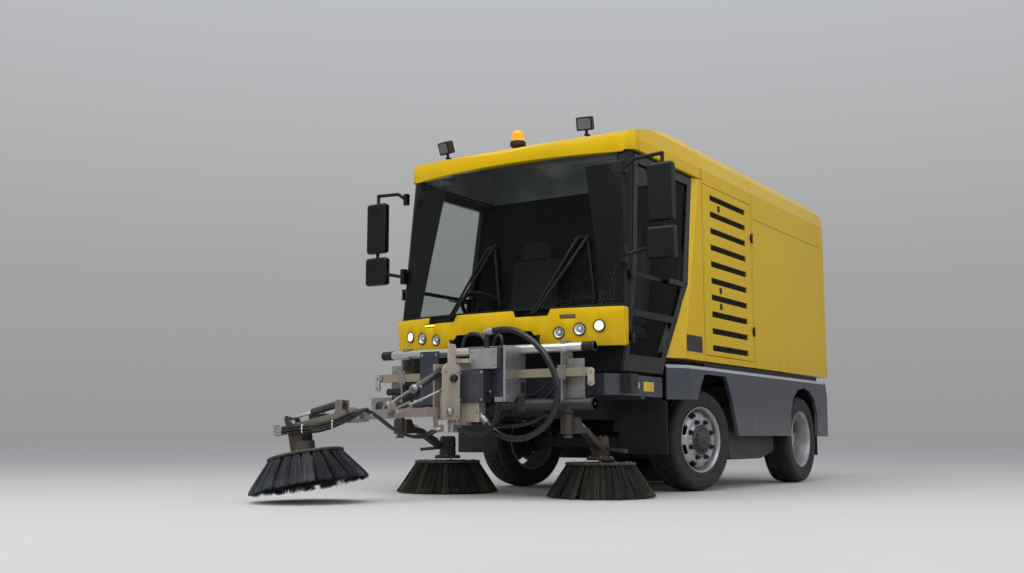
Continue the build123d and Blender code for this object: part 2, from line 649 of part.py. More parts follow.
# pivot x, tips of the two arms, upper and lower end of the blade: (x, z)
for x, t1, t2, b0, b1 in ((-375, (-84, 1822), (-24, 1836), (-22, 1818), (54, 1386)),
                          (370, (660, 1852), (731, 1848), (730, 1838), (803, 1395))):
    fy = face_y(abs(x)) - 14
    w = rod((x - 14, fy + 46, 1318), (x - 14, fy - 4, 1318), 16)
    w += rod((x + 14, fy + 34, 1320), (x + 14, fy - 4, 1320), 10)
    w += bx(x - 22, x + 20, fy - 2, fy + 14, 1309, 1336)
    tips = []
    for dx, dz, t in ((-14, 0, t1), (14, 4, t2)):
        tip = (t[0], glass_y(*t) - 30, t[1])
        w += bar_link((x + dx, fy - 2, 1318 + dz), tip, 15, 12, (0, 1, 0))
        tips.append(tip)
    w += bar_link(tips[0], tips[1], 16, 16, (0, 1, 0))
    w += bar_link((b0[0], glass_y(*b0) - 16, b0[1]), (b1[0], glass_y(*b1) - 16, b1[1]),
                  14, 20, (0, 1, 0))
    w += rod((t2[0], glass_y(*t2) - 36, t2[1]), (t2[0], glass_y(*t2) - 9, t2[1]), 12)
    wip.append(w)
put("wipers", wip)

# --------------------------------------------------------------- roof lights
lights = []
beacon = rod((0, -1300, 2640), (0, -1300, 2700), 62)
beacon += rod((0, -1300, 2700), (0, -1300, 2790), 48)
lights.append(beacon - roof_full)
for s in (-1, 1):
    lamp = rod((s * 640, -1350, 2640), (s * 640, -1350, 2690), 12)
    lamp += bx(s * 640 - 14, s * 640 + 14, -1362, -1270, 2600, 2652)
    lamp += Pos(s * 640, -1372, 2728) * Rot(18, 0, s * 14) * Box(120, 70, 100)
    lights.append(lamp - roof_full)
put("lamps", lamps + lights)

# -------------------------------------------------------- engine compartment
eng_out = body_length(SEAM_Y, HOPPER_Y0 - 8)
eng_in = body_length(SEAM_Y - 10, HOPPER_Y0 + 10, WALL)
eh = eng_out - eng_in
eh += body_length(HOPPER_Y0 - 34, HOPPER_Y0 - 8, 4) - bx(-500, 500, 800, 1000, 1300, 2500)
eh += body_length(SEAM_Y, SEAM_Y + 22, 4) - bx(-700, 700, -300, 0, 1300, 2500)
eh -= bx(-900, 900, -130, 868, 1000, 1062)
# engine bay door openings on both sides
ED_Y0, ED_Y1, ED_Z0, ED_Z1 = -146.0, 872.0, 1075.0, 2460.0
ED_HINGE = (1040.0, 884.0)
HINGE_Z = (1335, 2163)
for s in (-1, 1):
    eh -= bx(s * 985, s * 1100, ED_Y0 - 5, ED_Y1 + 5, ED_Z0 - 5, ED_Z1 + 5)
    for z in HINGE_Z:
        eh -= bx(s * 1024, s * 1060, 860, 896.5, z - 28, z + 28)
        for a, b in ((28, 40), (-40, -28)):
            eh += bx(s * 1020, s * 1048, 878, 896, z + a, z + b)
        eh += rod((s * ED_HINGE[0], ED_HINGE[1], z - 38),
                  (s * ED_HINGE[0], ED_HINGE[1], z + 38), 4)
put("engine_housing", eh)

LOUVRES = [2370 - 137 * i for i in range(10)]        # slot centre heights


def engine_door():
    dd = bx(1032 - WALL, 1032, ED_Y0, ED_Y1, ED_Z0, ED_Z1)
    for z in LOUVRES:
        if z - 24 > ED_Z0:
            dd -= bx(1010, 1040, -12, 752, z - 24, z + 24)
    # latches
    for y, z in ((165, 2302), (171, 1617), (172, 1485)):
        dd += bx(1030, 1037, y - 20, y + 20, z - 24, z + 24)
    # hinge knuckles on the rear edge
    for z in HINGE_Z:
        dd += bx(1028, 1046, 858, 884, z - 25, z + 25)
        dd += rod((*ED_HINGE, z - 25), (*ED_HINGE, z + 25), 9)
        dd -= rod((*ED_HINGE, z - 45), (*ED_HINGE, z + 45), 4.05)
    return dd


ed = engine_door()
put("engine_door_left", ed)
put("engine_door_right", mirror_x(ed))

# --------------------------------------------------------------------- hopper
def rear_shape(off=0.0):
    """The body volume rounded at its rear end."""
    b = body_length(HOPPER_Y0, BODY_Y1, off)
    prof = [(HOPPER_Y0 - 5, BODY_Z0 - 50), (2960, BODY_Z0 - 50)]
    with BuildSketch(Plane.YZ.offset(-1200)) as s:
        with BuildLine():
            Polyline((2880 - off, 970), (500, 970), (500, 2900),
                     (2700 - off, 2900), (2930 - off, 2690 - off),
                     (2952 - off, 2400), (2990 - off, 1700), (2990 - off, 1080),
                     (2880 - off, 970))
        make_face()
        fillet([v for v in s.vertices() if abs(v.Y - (2930 - off)) < 1], radius=150)
        fillet([v for v in s.vertices() if abs(v.Y - (2952 - off)) < 1], radius=600)
        fillet([v for v in s.vertices() if abs(v.Y - (2990 - off)) < 1 and v.Z > 1600],
               radius=600)
        fillet([v for v in s.vertices() if abs(v.Z - 1080) < 1], radius=60)
    b = b & extrude(s.sketch, 2400)
    r = 110 - off * 0.7
    x, y = BODY_X - off, BODY_Y1 - off
    with BuildSketch(Plane.XY.offset(900)) as c:
        with BuildLine():
            Polyline((-x, 500), (x, 500), (x, y), (-x, y), (-x, 500))
        make_face()
        fillet([v for v in c.vertices() if v.Y > 2500], radius=r)
    return b & extrude(c.sketch, 2000)


hop_all = rear_shape(0) - rear_shape(WALL)
hop_all = hop_all + (body_length(HOPPER_Y0, HOPPER_Y0 + WALL, 2))
hopper = hop_all & bx(-1100, 1100, 880, GATE_Y0 - 3, 900, 2900)
gate = hop_all & bx(-1100, 1100, GATE_Y0 + 3, 3100, 900, 2900)
# opening over the suction duct
hopper -= rod((0, 1115, 1000), (0, 1115, 1080), 135)
# tipping hinge eyes under the floor
for s in (-1, 1):
    lug = prism_x([(2660, 1040), (2740, 1040), (2740, 1021), (2700, 1021)],
                  s * 504, s * 544)
HH = (2866.0, 982.0)
hop_lug = []
for s in (-1, 1):
    for xx in (532, 606):
        hopper += prism_x([(2600, 1040), (2600, 1018), (2846, 962), (2886, 962),
                           (2886, 1004), (2750, 1019), (2750, 1040)],
                          min(s * xx, s * (xx + 22)), max(s * xx, s * (xx + 22)))
    hopper += rod((s * 532, *HH), (s * 628, *HH), 12)
# tailgate hinge knuckles on the roof edge
GH = (GATE_Y0 + 6, 2816.0)
for s in (-1, 1):
    hopper += rod((s * 560, *GH), (s * 618, *GH), 13)
    hopper += prism_x([(2690, 2770), (2690, 2800), (GH[0], 2828), (GH[0] - 1, 2806),
                       (2752, 2796), (2752, 2770)], min(s * 562, s * 616), max(s * 562, s * 616))
    hopper += rod((s * 560, *GH), (s * 686, *GH), 6)
    gate += rod((s * 624, *GH), (s * 682, *GH), 13)
    gate += prism_x([(2840, 2755), (2840, 2796), (GH[0], 2828), (GH[0] + 1, 2806),
                     (2780, 2790), (2780, 2755)], min(s * 626, s * 680), max(s * 626, s * 680))
    gate -= rod((s * 550, *GH), (s * 700, *GH), 6.05)
gate -= bx(-1100, 1100, 2700, GATE_Y0 + 3, 900, 2795)
put("hopper", hopper)
put("tailgate", gate)

# ---------------------------------------------------------- knuckles, wheels
def wheel_frame(s, front):
    """Plane whose z axis is the wheel's axle, pointing outboard."""
    if front:
        a = math.radians(STEER_DEG)
        d = Vector(s * math.cos(a), s * math.sin(a), 0)
        o = Vector(s * KINGPIN_X, 0, AXLE_Z) + d * (FRONT_TRACK_X - KINGPIN_X)
    else:
        d = Vector(s, 0, 0)
        o = Vector(s * REAR_TRACK_X, WHEELBASE, AXLE_Z)
    return Plane(origin=o, x_dir=(0, 0, 1), z_dir=d)


# (r, u) outlines: u is measured outboard from the wheel's centre plane
TYRE = [(249, -100), (262, -112), (300, -127), (340, -131), (380, -120),
        (400, -104), (TYRE_R, -88), (TYRE_R, 88), (400, 104), (380, 120),
        (340, 131), (300, 127), (262, 112), (249, 100)]
BARREL = [(RIM_R, 118), (RIM_R, 113), (248.7, 101), (248.7, -101), (RIM_R, -113),
          (RIM_R, -118), (250, -118), (236, -96), (236, 96), (250, 118)]
FRONT_DISC = [(238, 30), (238, 44), (214, 88), (176, 112), (62, 112),
              (62, 98), (170, 98), (204, 76), (226, 30)]
FRONT_HUB = [(0, 40), (118, 40), (118, 97), (112, 122), (92, 126), (70, 150),
             (46, 160), (0, 160)]
REAR_DISC = [(238, -58), (238, -42), (200, -22), (62, -22), (62, -36),
             (194, -36), (226, -58)]
REAR_HUB = [(0, -100), (112, -100), (112, -22), (88, 10), (60, 34), (0, 38)]


def lathe(pts):
    with BuildSketch(Plane.XZ) as s:
        with BuildLine():
            Polyline(*pts, close=True)
        make_face()
    return revolve(s.sketch, axis=Axis.Z)


def rim(front):
    r = lathe(BARREL) + lathe(FRONT_DISC if front else REAR_DISC)
    r += lathe(FRONT_HUB if front else REAR_HUB)
    u0 = 100 if front else -40
    if front:
        for i in range(8):
            a = math.radians(i * 45 + 22.5)
            r += Pos(143 * math.cos(a), 143 * math.sin(a), u0 + 22) * Cylinder(17, 44)
    return r


tyre_solid = lathe(TYRE)
for nm, s, front in (("front_left", 1, True), ("front_right", -1, True),
                     ("rear_left", 1, False), ("rear_right", -1, False)):
    pl = wheel_frame(s, front)
    put("tyre_" + nm, pl.location * tyre_solid)
    rr = rim(front)
    if front:
        rr -= Pos(0, 0, -20) * Cylinder(30.05, 160)
    else:
        rr -= Pos(0, 0, -95) * Cylinder(30.05, 60)
    put("rim_" + nm, pl.location * rr)
    if front:
        k = Vector(s * KINGPIN_X, 0, AXLE_Z)
        d = pl.z_dir
        # knuckle: kingpin boss, brake drum and stub axle
        kn = rod((k.X, k.Y, 350), (k.X, k.Y, 460), 40)
        kn += rod(tuple(k), tuple(k + d * 72), 45)
        kn += rod(tuple(k + d * 38), tuple(k + d * 92), 150)
        kn += rod(tuple(k + d * 60), tuple(k + d * 118), 29.95)
        kn -= rod((k.X, k.Y, 300), (k.X, k.Y, 520), 18.05)
        # steering arm
        reach = Vector(s * 41, 185, 0).rotate(Axis.Z, STEER_DEG)
        kn += bar_link(tuple(k + reach * 0.18 + Vector(0, 0, -28)),
                       tuple(k + reach + Vector(0, 0, -28)), 36, 26)
        nmk = "knuckle_left" if s > 0 else "knuckle_right"
        put(nmk, kn)

# ------------------------------------------------------ front implement frame
imp = rod((-722, BAR_Y, BAR_Z), (722, BAR_Y, BAR_Z), BAR_R)
for s in (-1, 1):
    imp += rod((s * 720, BAR_Y, BAR_Z), (s * BAR_X, BAR_Y, BAR_Z), BAR_R - 2)
imp += bx(-903, 903, TUBE_Y - TUBE_S / 2, TUBE_Y + TUBE_S / 2,
          TUBE_Z - TUBE_S / 2, TUBE_Z + TUBE_S / 2)
imp += rod((-940, LOW_Y, LOW_Z), (940, LOW_Y, LOW_Z), LOW_R)
for s in (-1, 1):
    # upright plates, clamps and end brackets
    imp += bx(s * 690, s * 705, -1830, -1690, 640, 1005)
    imp += bx(s * 705, s * 840, -1772, -1760, 690, 960)
    imp += bx(s * 660, s * 720, -1790, -1735, 1000, 1085)
    imp += bx(s * 690, s * 760, -1760, -1560, 760, 840)
    imp += bx(s * 905, s * 950, -1838, -1826, 795, 870)
    imp += rod((s * 927, -1838, 866), (s * 927, -1826, 866), 26)
    imp += rod((s * 927, -1838, 793), (s * 927, -1826, 793), 26)
    imp += bx(s * 880, s * 910, -1838, -1800, 850, 890)
    # posts down to the side broom swivels
    imp += rod((s * 730, LOW_Y, LOW_Z), (s * 730, LOW_Y, 590), 34)
    imp += rod((s * 730, LOW_Y, 600), (s * 730, LOW_Y, 420), 17.95)
    imp += rod((s * 730, LOW_Y, 438), (s * 730, LOW_Y, 420), 30)
    # longitudinal legs back to the chassis rails
    imp += bx(s * 346, s * 410, -1840, -1560, 600, 700)
put("implement_frame", imp)

# route of the free pressure hose that loops beside the carriage
LOOP = [(150, -1890, 1168), (300, -1905, 1187), (490, -1922, 1115),
        (650, -1932, 970), (745, -1936, 755), (692, -1934, 540),
        (505, -1926, 425), (345, -1916, 412), (212, -1908, 452),
        (113, -1903, 546)]

# slide carriage with its motor box and guide plates
car = bx(-68, 140, -1962, -1858, 668, 895)
car += bx(-60, 330, -1858, -1844, 700, 1060)
car += bx(-20, 215, -1905, -1844, 905, 1050)
car += prism_x([(-1990, 668), (-1880, 668), (-1850, 704), (-1735, 704),
                (-1735, 1055), (-1990, 1055)], 330, 344)
car += bx(-502, -334, -1858, -1844, 662, 1050)
car += bx(-340, -60, -1858, -1844, 760, 900)
# slide pads against the square tube
car += bx(-480, -360, -1844, -1829, 842, 888)
car += bx(-40, 300, -1844, -1829, 842, 888)
# clevis that holds the mast
for z0, z1 in ((948, 978), (510, 536)):
    car += rod((MAST_X, MAST_Y, z0), (MAST_X, MAST_Y, z1), 32)
    car += bx(MAST_X - 32, MAST_X + 32, MAST_Y, -1950, z0, z1)
car += bx(-142, 0, -1955, -1850, 948, 978)
car += bx(-142, 0, -1872, -1844, 880, 978)
car += bx(-142, -20, -1955, -1880, 510, 536)
car += bx(-100, 90, -1940, -1862, 532, 668)
# hose fittings: top stub and elbow, lower stub, and two connection blocks
car += rod((118, -1887, 1040), (118, -1887, 1183), 17)
for p0, p1, reach in ((LOOP[0], LOOP[1], 42), (LOOP[-1], LOOP[-2], 90)):
    back = (Vector(*p0) - Vector(*p1)).normalized() * reach
    car += rod(tuple(Vector(*p0) + back), p0, 19)
car += bx(-136, -56, -1999, -1936, 458, 508) - rod((MAST_X, MAST_Y, 440),
                                                 (MAST_X, MAST_Y, 520), 34)
car += bx(-136, -56, -1955, -1936, 500, 515)
car += bx(262, 332, -2002, -1935, 668, 700)
car -= rod((MAST_X, MAST_Y, 500), (MAST_X, MAST_Y, 1000), 16.05)
# the side plate is notched round the bars that it slides on
car -= rod((300, BAR_Y, BAR_Z), (360, BAR_Y, BAR_Z), BAR_R + 1)
car -= bx(300, 360, BAR_Y, -1700, BAR_Z - BAR_R - 1, 1100)
car -= bx(300, 360, TUBE_Y - TUBE_S / 2 - 1, TUBE_Y + TUBE_S / 2 + 1,
          TUBE_Z - TUBE_S / 2 - 1, TUBE_Z + TUBE_S / 2 + 1)
put("slide_carriage", car)
put("loop_hose", tube_path(LOOP, None, 22))
# three hoses from the post's block to the carriage's right side
CAR_ROUTE = [(-50.5, 483.5), (10, 462), (85, 447), (160, 456), (225, 500), (266, 575),
             (284, 666)]
put("carriage_hoses", [tube_path([(x, -1950 - 20 * k, z - 7 * k * (0 < i < 5))
                                  for i, (x, z) in enumerate(CAR_ROUTE)], None, 9)
                       for k in range(3)])

# ----------------------------------------------------------------- front boom
# Mast, boom and lift cylinder are drawn in the mast's own frame: its swing
# axis is x = y = 0 and the boom points along -Y.
MF = Pos(MAST_X, MAST_Y, 0) * Rot(0, 0, MAST_YAW)
F = Vector(BOOM_U, -80, BOOM_Z)                    # foot pin
E = Vector(BOOM_U, ELBOW_V, BOOM_Z2)               # elbow
FE = E - F
CT = Vector(BOOM_U, -46, 905)                      # lift cylinder's upper pin
LG = F + FE * 0.60 + Vector(0, 0, 62)              # its lower pin, on the boom
ST0 = Vector(38, -46, 781)                         # stay's upper pin
ST1 = Vector(38, F.Y + FE.Y * 0.60, 598)           # its lower pin, in the slot

mast = rod((0, 0, 470), (0, 0, 1000), 16)
mast += rod((0, 0, 542), (0, 0, 942), 30)
mast -= rod((-60, F.Y, F.Z), (3, F.Y, F.Z), 39)
mast -= rod((-52, CT.Y, CT.Z), (-2, CT.Y, CT.Z), 29)
# cheeks either side of the boom foot, and the broad outer plate
mast += bx(-75, -60, -112, -32, 548, 938)
mast += prism_x([(-112, 548), (-32, 548), (-32, 938), (-74, 938), (-112, 700)], 5, 20)
mast += prism_x([(-132, 545), (10, 545), (16, 560), (16, 905), (8, 925),
                 (-23, 940), (-23, 1062), (-34, 1075), (-79, 1075), (-90, 1062),
                 (-90, 940), (-125, 925), (-140, 900), (-140, 560)], 54, 66)
mast += bx(-75, 20, -32, -5, 650, 885)
mast += bx(0, 66, -16, 8, 650, 885)
mast += bx(-75, 66, -112, -5, 545, 562)
mast += rod((-78, CT.Y, CT.Z), (24, CT.Y, CT.Z), 10)
mast += rod((15, ST0.Y, ST0.Z), (60, ST0.Y, ST0.Z), 8)
mast += rod((60, -50, 834), (84, -50, 834), 26)
mast -= rod((-90, F.Y, F.Z), (90, F.Y, F.Z), 14.05)
put("boom_mast", MF * mast)

boom = bar_link(tuple(F + FE * 0.012), tuple(E - FE * 0.09), 52, 64)
boom += rod((-54, F.Y, F.Z), (0, F.Y, F.Z), 34)
boom += rod((-82, F.Y, F.Z), (80, F.Y, F.Z), 14)
boom += rod((70, F.Y, F.Z), (82, F.Y, F.Z), 25)
for dx in (-34, 20):
    boom += prism_x([(LG.Y - 40, LG.Z - 60), (LG.Y + 40, LG.Z - 60),
                     (LG.Y + 22, LG.Z + 18), (LG.Y - 22, LG.Z + 18)],
                    LG.X + dx, LG.X + dx + 14)
boom += rod((LG.X - 36, LG.Y, LG.Z), (LG.X + 36, LG.Y, LG.Z), 9)
boom += rod((-20, ST1.Y, ST1.Z), (54, ST1.Y, ST1.Z), 8)
boom += rod((50, ST1.Y, ST1.Z), (56, ST1.Y, ST1.Z), 17)
# elbow: lower tongue and pin
boom += bar_link(tuple(E - FE * 0.15 + Vector(0, 0, -32)),
                 tuple(E + Vector(0, 0, -33)), 46, 26)
boom += rod((E.X, E.Y, E.Z - 48), (E.X, E.Y, E.Z - 18), 36)
boom += rod((E.X, E.Y, E.Z - 48), (E.X, E.Y, E.Z + 54), 13.95)
# carrier plate and end block of the hoses under the boom
boom += bx(-4, 102, E.Y + 40, E.Y + 66, 570, 577)
boom += bx(-22, 62, -150, -124, 462, 512)
boom += bx(-22, -2, -150, -124, 510, 576)
put("boom", MF * boom)

# three hoses that sag under the boom, (x, y, z) in the mast's frame
BOOM_ROUTE = [(44, E.Y + 24, 604), (44, E.Y + 90, 588), (40, E.Y + 173, 541),
              (36, E.Y + 270, 480), (30, -447, 441), (20, -332, 432),
              (10, -236, 448), (4, -155.5, 484)]
put("boom_hoses", [MF * tube_path([(x + 22 * k, y, z - 5 * k * (i not in (0, 7)))
                                   for i, (x, y, z) in enumerate(BOOM_ROUTE)],
                                  None, 9) for k in range(3)])

# lift cylinder between the mast and the boom's lug
cd = (LG - CT).normalized()
cl = (LG - CT).length
cylb = rod(tuple(CT + cd * 20), tuple(CT + cd * 330), 27)
cylb += rod((CT.X - 20, CT.Y, CT.Z), (CT.X + 20, CT.Y, CT.Z), 24)
cylb -= rod(tuple(CT + cd * 50), tuple(CT + cd * 335), 14.06)
cylb -= rod((CT.X - 30, CT.Y, CT.Z), (CT.X + 30, CT.Y, CT.Z), 10.05)
put("lift_cylinder_barrel", MF * cylb)
cylr = rod(tuple(CT + cd * 246), tuple(LG - cd * 17), 14)
cylr += rod((LG.X - 17, LG.Y, LG.Z), (LG.X + 17, LG.Y, LG.Z), 23)
cylr -= rod((LG.X - 30, LG.Y, LG.Z), (LG.X + 30, LG.Y, LG.Z), 14.0)
put("lift_cylinder_rod", MF * cylr)

# slotted stay beside the lift cylinder
sd = (ST1 - ST0).normalized()
sl = (ST1 - ST0).length
stay = rod(tuple(ST0 + sd * 12), tuple(ST0 + sd * (sl - 120)), 9)
stay += rod(tuple(ST0 + sd * 30), tuple(ST0 + sd * 90), 11)
stay += rod((30, ST0.Y, ST0.Z), (46, ST0.Y, ST0.Z), 19)
stay -= rod((20, ST0.Y, ST0.Z), (60, ST0.Y, ST0.Z), 8.05)
stay += bar_link(tuple(ST0 + sd * (sl - 140)), tuple(ST0 + sd * (sl + 22)), 12, 46)
slot_up = Vector(1, 0, 0).cross(sd)
stay -= bar_link(tuple(ST0 + sd * (sl - 118)), tuple(ST0 + sd * (sl + 0.0)), 30, 26)
stay -= rod((20, ST1.Y, ST1.Z), (60, ST1.Y, ST1.Z), 13)
put("tie_rod", MF * stay)

# outer arm, from the elbow to the right, over the broom
ARM0 = Vector(ELBOW[0], ELBOW[1], BOOM_Z2 + 20)
ARM1 = Vector(-850, -2862, 478)
AE = Vector(ARM1.X - ARM0.X, ARM1.Y - ARM0.Y, 0).normalized()   # outwards
TP = Vector(*TILT_PIN)
AF = Plane(origin=TP, x_dir=AE, z_dir=(0, 0, 1))
# in AF: x runs out along the arm, y across it, z up, origin on the tilt pin


def af(u, v, w):
    return AF.from_local_coords(Vector(u, v, w))


arm = bar_link(tuple(ARM0 + (ARM1 - ARM0) * 0.05), tuple(ARM1), 84, 40)
arm += rod((ELBOW[0], ELBOW[1], BOOM_Z2 - 14), (ELBOW[0], ELBOW[1], BOOM_Z2 + 46), 34)
arm -= rod((ELBOW[0], ELBOW[1], BOOM_Z2 - 60), (ELBOW[0], ELBOW[1], BOOM_Z2 + 80), 14.05)
# upright lug of the tilt cylinder
TL = ARM0 + (ARM1 - ARM0) * 0.16 + Vector(0, 0, 80)
TLl = AF.to_local_coords(TL)
for v in (-42, 30):
    arm += AF.location * bx(TLl.X - 26, TLl.X + 26, v, v + 12, TLl.Z - 72, TLl.Z + 20)
arm += rod(tuple(af(TLl.X, -45, TLl.Z)), tuple(af(TLl.X, 45, TLl.Z)), 9)
# motor boxes behind the arm
arm += bx(-700, -560, -2808, -2720, 515, 580)
arm += bx(-640, -540, -2822, -2790, 490, 560)
# tilt pin under the arm
arm += AF.location * bx(-20, 20, -32, 32, 0, 45)
arm += rod(tuple(af(0, -42, 0)), tuple(af(0, 42, 0)), 20)
arm += rod(tuple(af(0, -64, 0)), tuple(af(0, 64, 0)), 12)
# end block of the arm's hoses
arm += bx(-876, -846, -2900, -2862, 455, 500)
arm += bx(-876, -856, -2932, -2880, 455, 500)
arm += bx(-876, -844, -2957, -2929, 432, 504)
put("outer_arm", arm)

# three hoses along the arm's front
ARM_ROUTE = [(-268, -2868, 582), (-330, -2886, 556), (-400, -2897, 530),
             (-480, -2904, 509), (-560, -2911, 498), (-645, -2921, 499),
             (-745, -2933, 495), (-842.4, -2943, 484)]
put("arm_hoses", [tube_path([(x, y - 3 * (k == 1), z - 19 * k)
                             for x, y, z in ARM_ROUTE], None, 9)
                  for k in range(3)])

# broom head: tilts on the pin under the arm, carries the motor
fn = Vector(*FB_N).normalized()
C0 = Vector(*FB)
LT = af(100, 0, 97)                               # lever pin of the cylinder
head = rod(tuple(C0 + fn * 22), tuple(C0 + fn * 88), 70)
head += rod(tuple(C0 + fn * 20), tuple(C0 + fn * 30), 110)
with BuildSketch(Plane.XZ) as hs:
    with BuildLine():
        Polyline((-45, -122), (55, -122), (75, -30), (116, 90), (112, 110),
                 (92, 114), (80, 96), (20, 26), (-10, 26), (-28, 8),
                 (-34, -30), close=True)
    make_face()
for v in (-58, 48):
    head += AF.location * (Pos(0, v + 10, 0) * extrude(hs.sketch, 10))
head += rod(tuple(af(100, -60, 97)), tuple(af(100, 60, 97)), 9)
head -= rod(tuple(af(0, -80, 0)), tuple(af(0, 80, 0)), 12.05)
put("broom_head", head)

# tilt cylinder between the upright lug and the head's lever
td = (LT - TL).normalized()
tlen = (LT - TL).length
tb = rod(tuple(TL + td * 18), tuple(TL + td * (tlen * 0.58)), 24)
tb += rod(tuple(af(TLl.X, -18, TLl.Z)), tuple(af(TLl.X, 18, TLl.Z)), 20)
tb -= rod(tuple(TL + td * 60), tuple(TL + td * (tlen * 0.58 + 5)), 12.06)
tb -= rod(tuple(af(TLl.X, -30, TLl.Z)), tuple(af(TLl.X, 30, TLl.Z)), 9.05)
put("tilt_cylinder_barrel", tb)
tr = rod(tuple(TL + td * (tlen * 0.40)), tuple(LT - td * 12), 12)
tr += rod(tuple(af(100, -16, 97)), tuple(af(100, 16, 97)), 17)
tr -= rod(tuple(af(100, -30, 97)), tuple(af(100, 30, 97)), 10.6)
put("tilt_cylinder_rod", tr)


# front broom: top plate and the flared bristle ring
def broom(top_r, bot_r, h):
    """Broom about +Z: plate on top at z = 0..14, bristles below."""
    ring = [(top_r, 0), (bot_r, -h), (bot_r - 75, -h), (150, -8), (0, -8),
            (0, 14), (top_r, 14)]
    return lathe(ring)


fbm = broom(BROOM_TOP_R, 402, 214)
pl = Plane(origin=C0, z_dir=fn)
fbr = pl.location * fbm
fbr += rod(tuple(C0 + fn * 10), tuple(C0 + fn * 18), 60)
put("front_broom", fbr)

# --------------------------------------------------------------- side brooms
def side_arm():
    """Left trailing arm: swivel, arm with brace, motor and broom."""
    sx = 730.0
    sv = rod((sx, LOW_Y, 445), (sx, LOW_Y, 580), 33)
    for xx in (sx - 60, sx + 42):
        sv += prism_x([(-1800, 450), (-1800, 560), (-1740, 560), (-1700, 500),
                       (-1700, 455)], xx, xx + 18)
    sv += bx(sx - 60, sx + 60, -1800, -1765, 455, 555)
    sv -= rod((sx, LOW_Y, 400), (sx, LOW_Y, 600), 18.05)
    py, pz = -1722.0, 484.0
    sv += rod((sx - 62, py, pz), (sx + 62, py, pz), 10)
    ar = rod((sx - 36, py, pz), (sx + 36, py, pz), 24)
    ar += bar_link((sx, py + 10, pz), (sx - 8, -1560, 470), 60, 40)
    ar += bar_link((sx - 8, -1570, 470), (BROOM_X + 20, -1330, 352), 60, 40)
    ar += bar_link((BROOM_X + 20, -1345, 352), (BROOM_X, BROOM_Y, 350), 110, 30)
    ar -= rod((sx - 70, py, pz), (sx + 70, py, pz), 10.05)
    # motor on the broom centre
    ar += rod((BROOM_X, BROOM_Y, 262), (BROOM_X, BROOM_Y, 420), 62)
    ar += rod((BROOM_X, BROOM_Y, 262), (BROOM_X, BROOM_Y, 284), 100)
    # outer edge guide bar
    ar += bar_link((BROOM_X + 50, BROOM_Y - 10, 345), (BROOM_X + 230, BROOM_Y - 40, 330), 34, 24)
    br = Pos(BROOM_X, BROOM_Y, BROOM_Z1) * broom(BROOM_TOP_R, BROOM_BOT_R,
                                                 BROOM_Z1 - BROOM_Z0)
    return sv, ar, br


sv, ar, br = side_arm()
put("left_swivel", sv)
put("left_broom_arm", ar)
put("left_side_broom", br)
put("right_swivel", mirror_x(sv))
put("right_broom_arm", mirror_x(ar))
put("right_side_broom", mirror_x(br))

# ------------------------------------------------------------------- summary
tot = Compound(children=[v for v in PARTS.values()])
bb = tot.bounding_box()
print("nodes", len(PARTS), "box", [round(v) for v in (*bb.min, *bb.max)],
      "origin_y for a centred box", round(-(bb.min.Y + bb.max.Y) / 2, 1))
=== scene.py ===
import json
import math
import random

import bmesh
import bpy
import numpy as np
from mathutils import Matrix, Vector, noise


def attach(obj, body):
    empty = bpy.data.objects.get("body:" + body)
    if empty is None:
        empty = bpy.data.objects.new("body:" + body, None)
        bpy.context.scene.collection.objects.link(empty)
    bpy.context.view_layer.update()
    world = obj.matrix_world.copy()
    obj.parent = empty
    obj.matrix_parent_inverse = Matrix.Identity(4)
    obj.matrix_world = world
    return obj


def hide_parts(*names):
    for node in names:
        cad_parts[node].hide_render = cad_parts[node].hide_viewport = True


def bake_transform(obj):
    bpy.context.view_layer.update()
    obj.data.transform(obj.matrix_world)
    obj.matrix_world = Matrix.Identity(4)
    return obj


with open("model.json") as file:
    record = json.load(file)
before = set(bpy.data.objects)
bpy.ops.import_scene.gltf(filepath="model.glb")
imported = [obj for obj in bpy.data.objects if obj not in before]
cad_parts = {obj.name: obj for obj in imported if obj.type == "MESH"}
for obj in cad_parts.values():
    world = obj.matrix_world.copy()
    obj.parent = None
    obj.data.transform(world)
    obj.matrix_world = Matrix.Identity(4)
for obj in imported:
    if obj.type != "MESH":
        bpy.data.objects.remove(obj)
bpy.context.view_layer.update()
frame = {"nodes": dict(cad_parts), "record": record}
NODES = frame["nodes"]
scene = bpy.context.scene

OY = 0.129                      # the axle line of the front wheels is y = OY


def V(x, y, z):
    """Vehicle numbers in millimetres, with y = 0 at the front axle, as a point
    of the shared frame in metres."""
    return Vector((x / 1000.0, y / 1000.0 + OY, z / 1000.0))


# ------------------------------------------------------------------- camera
cam_data = bpy.data.cameras.new("camera")
cam = bpy.data.objects.new("camera", cam_data)
scene.collection.objects.link(cam)
cam.location = (4.564, -8.180, 0.435)
cam.rotation_euler = (math.radians(97.70), 0.0, math.radians(33.39))
cam_data.lens = 38.86
cam_data.sensor_width = 36.0
cam_data.clip_end = 200.0
scene.camera = cam

# ------------------------------------------------------------ node helpers


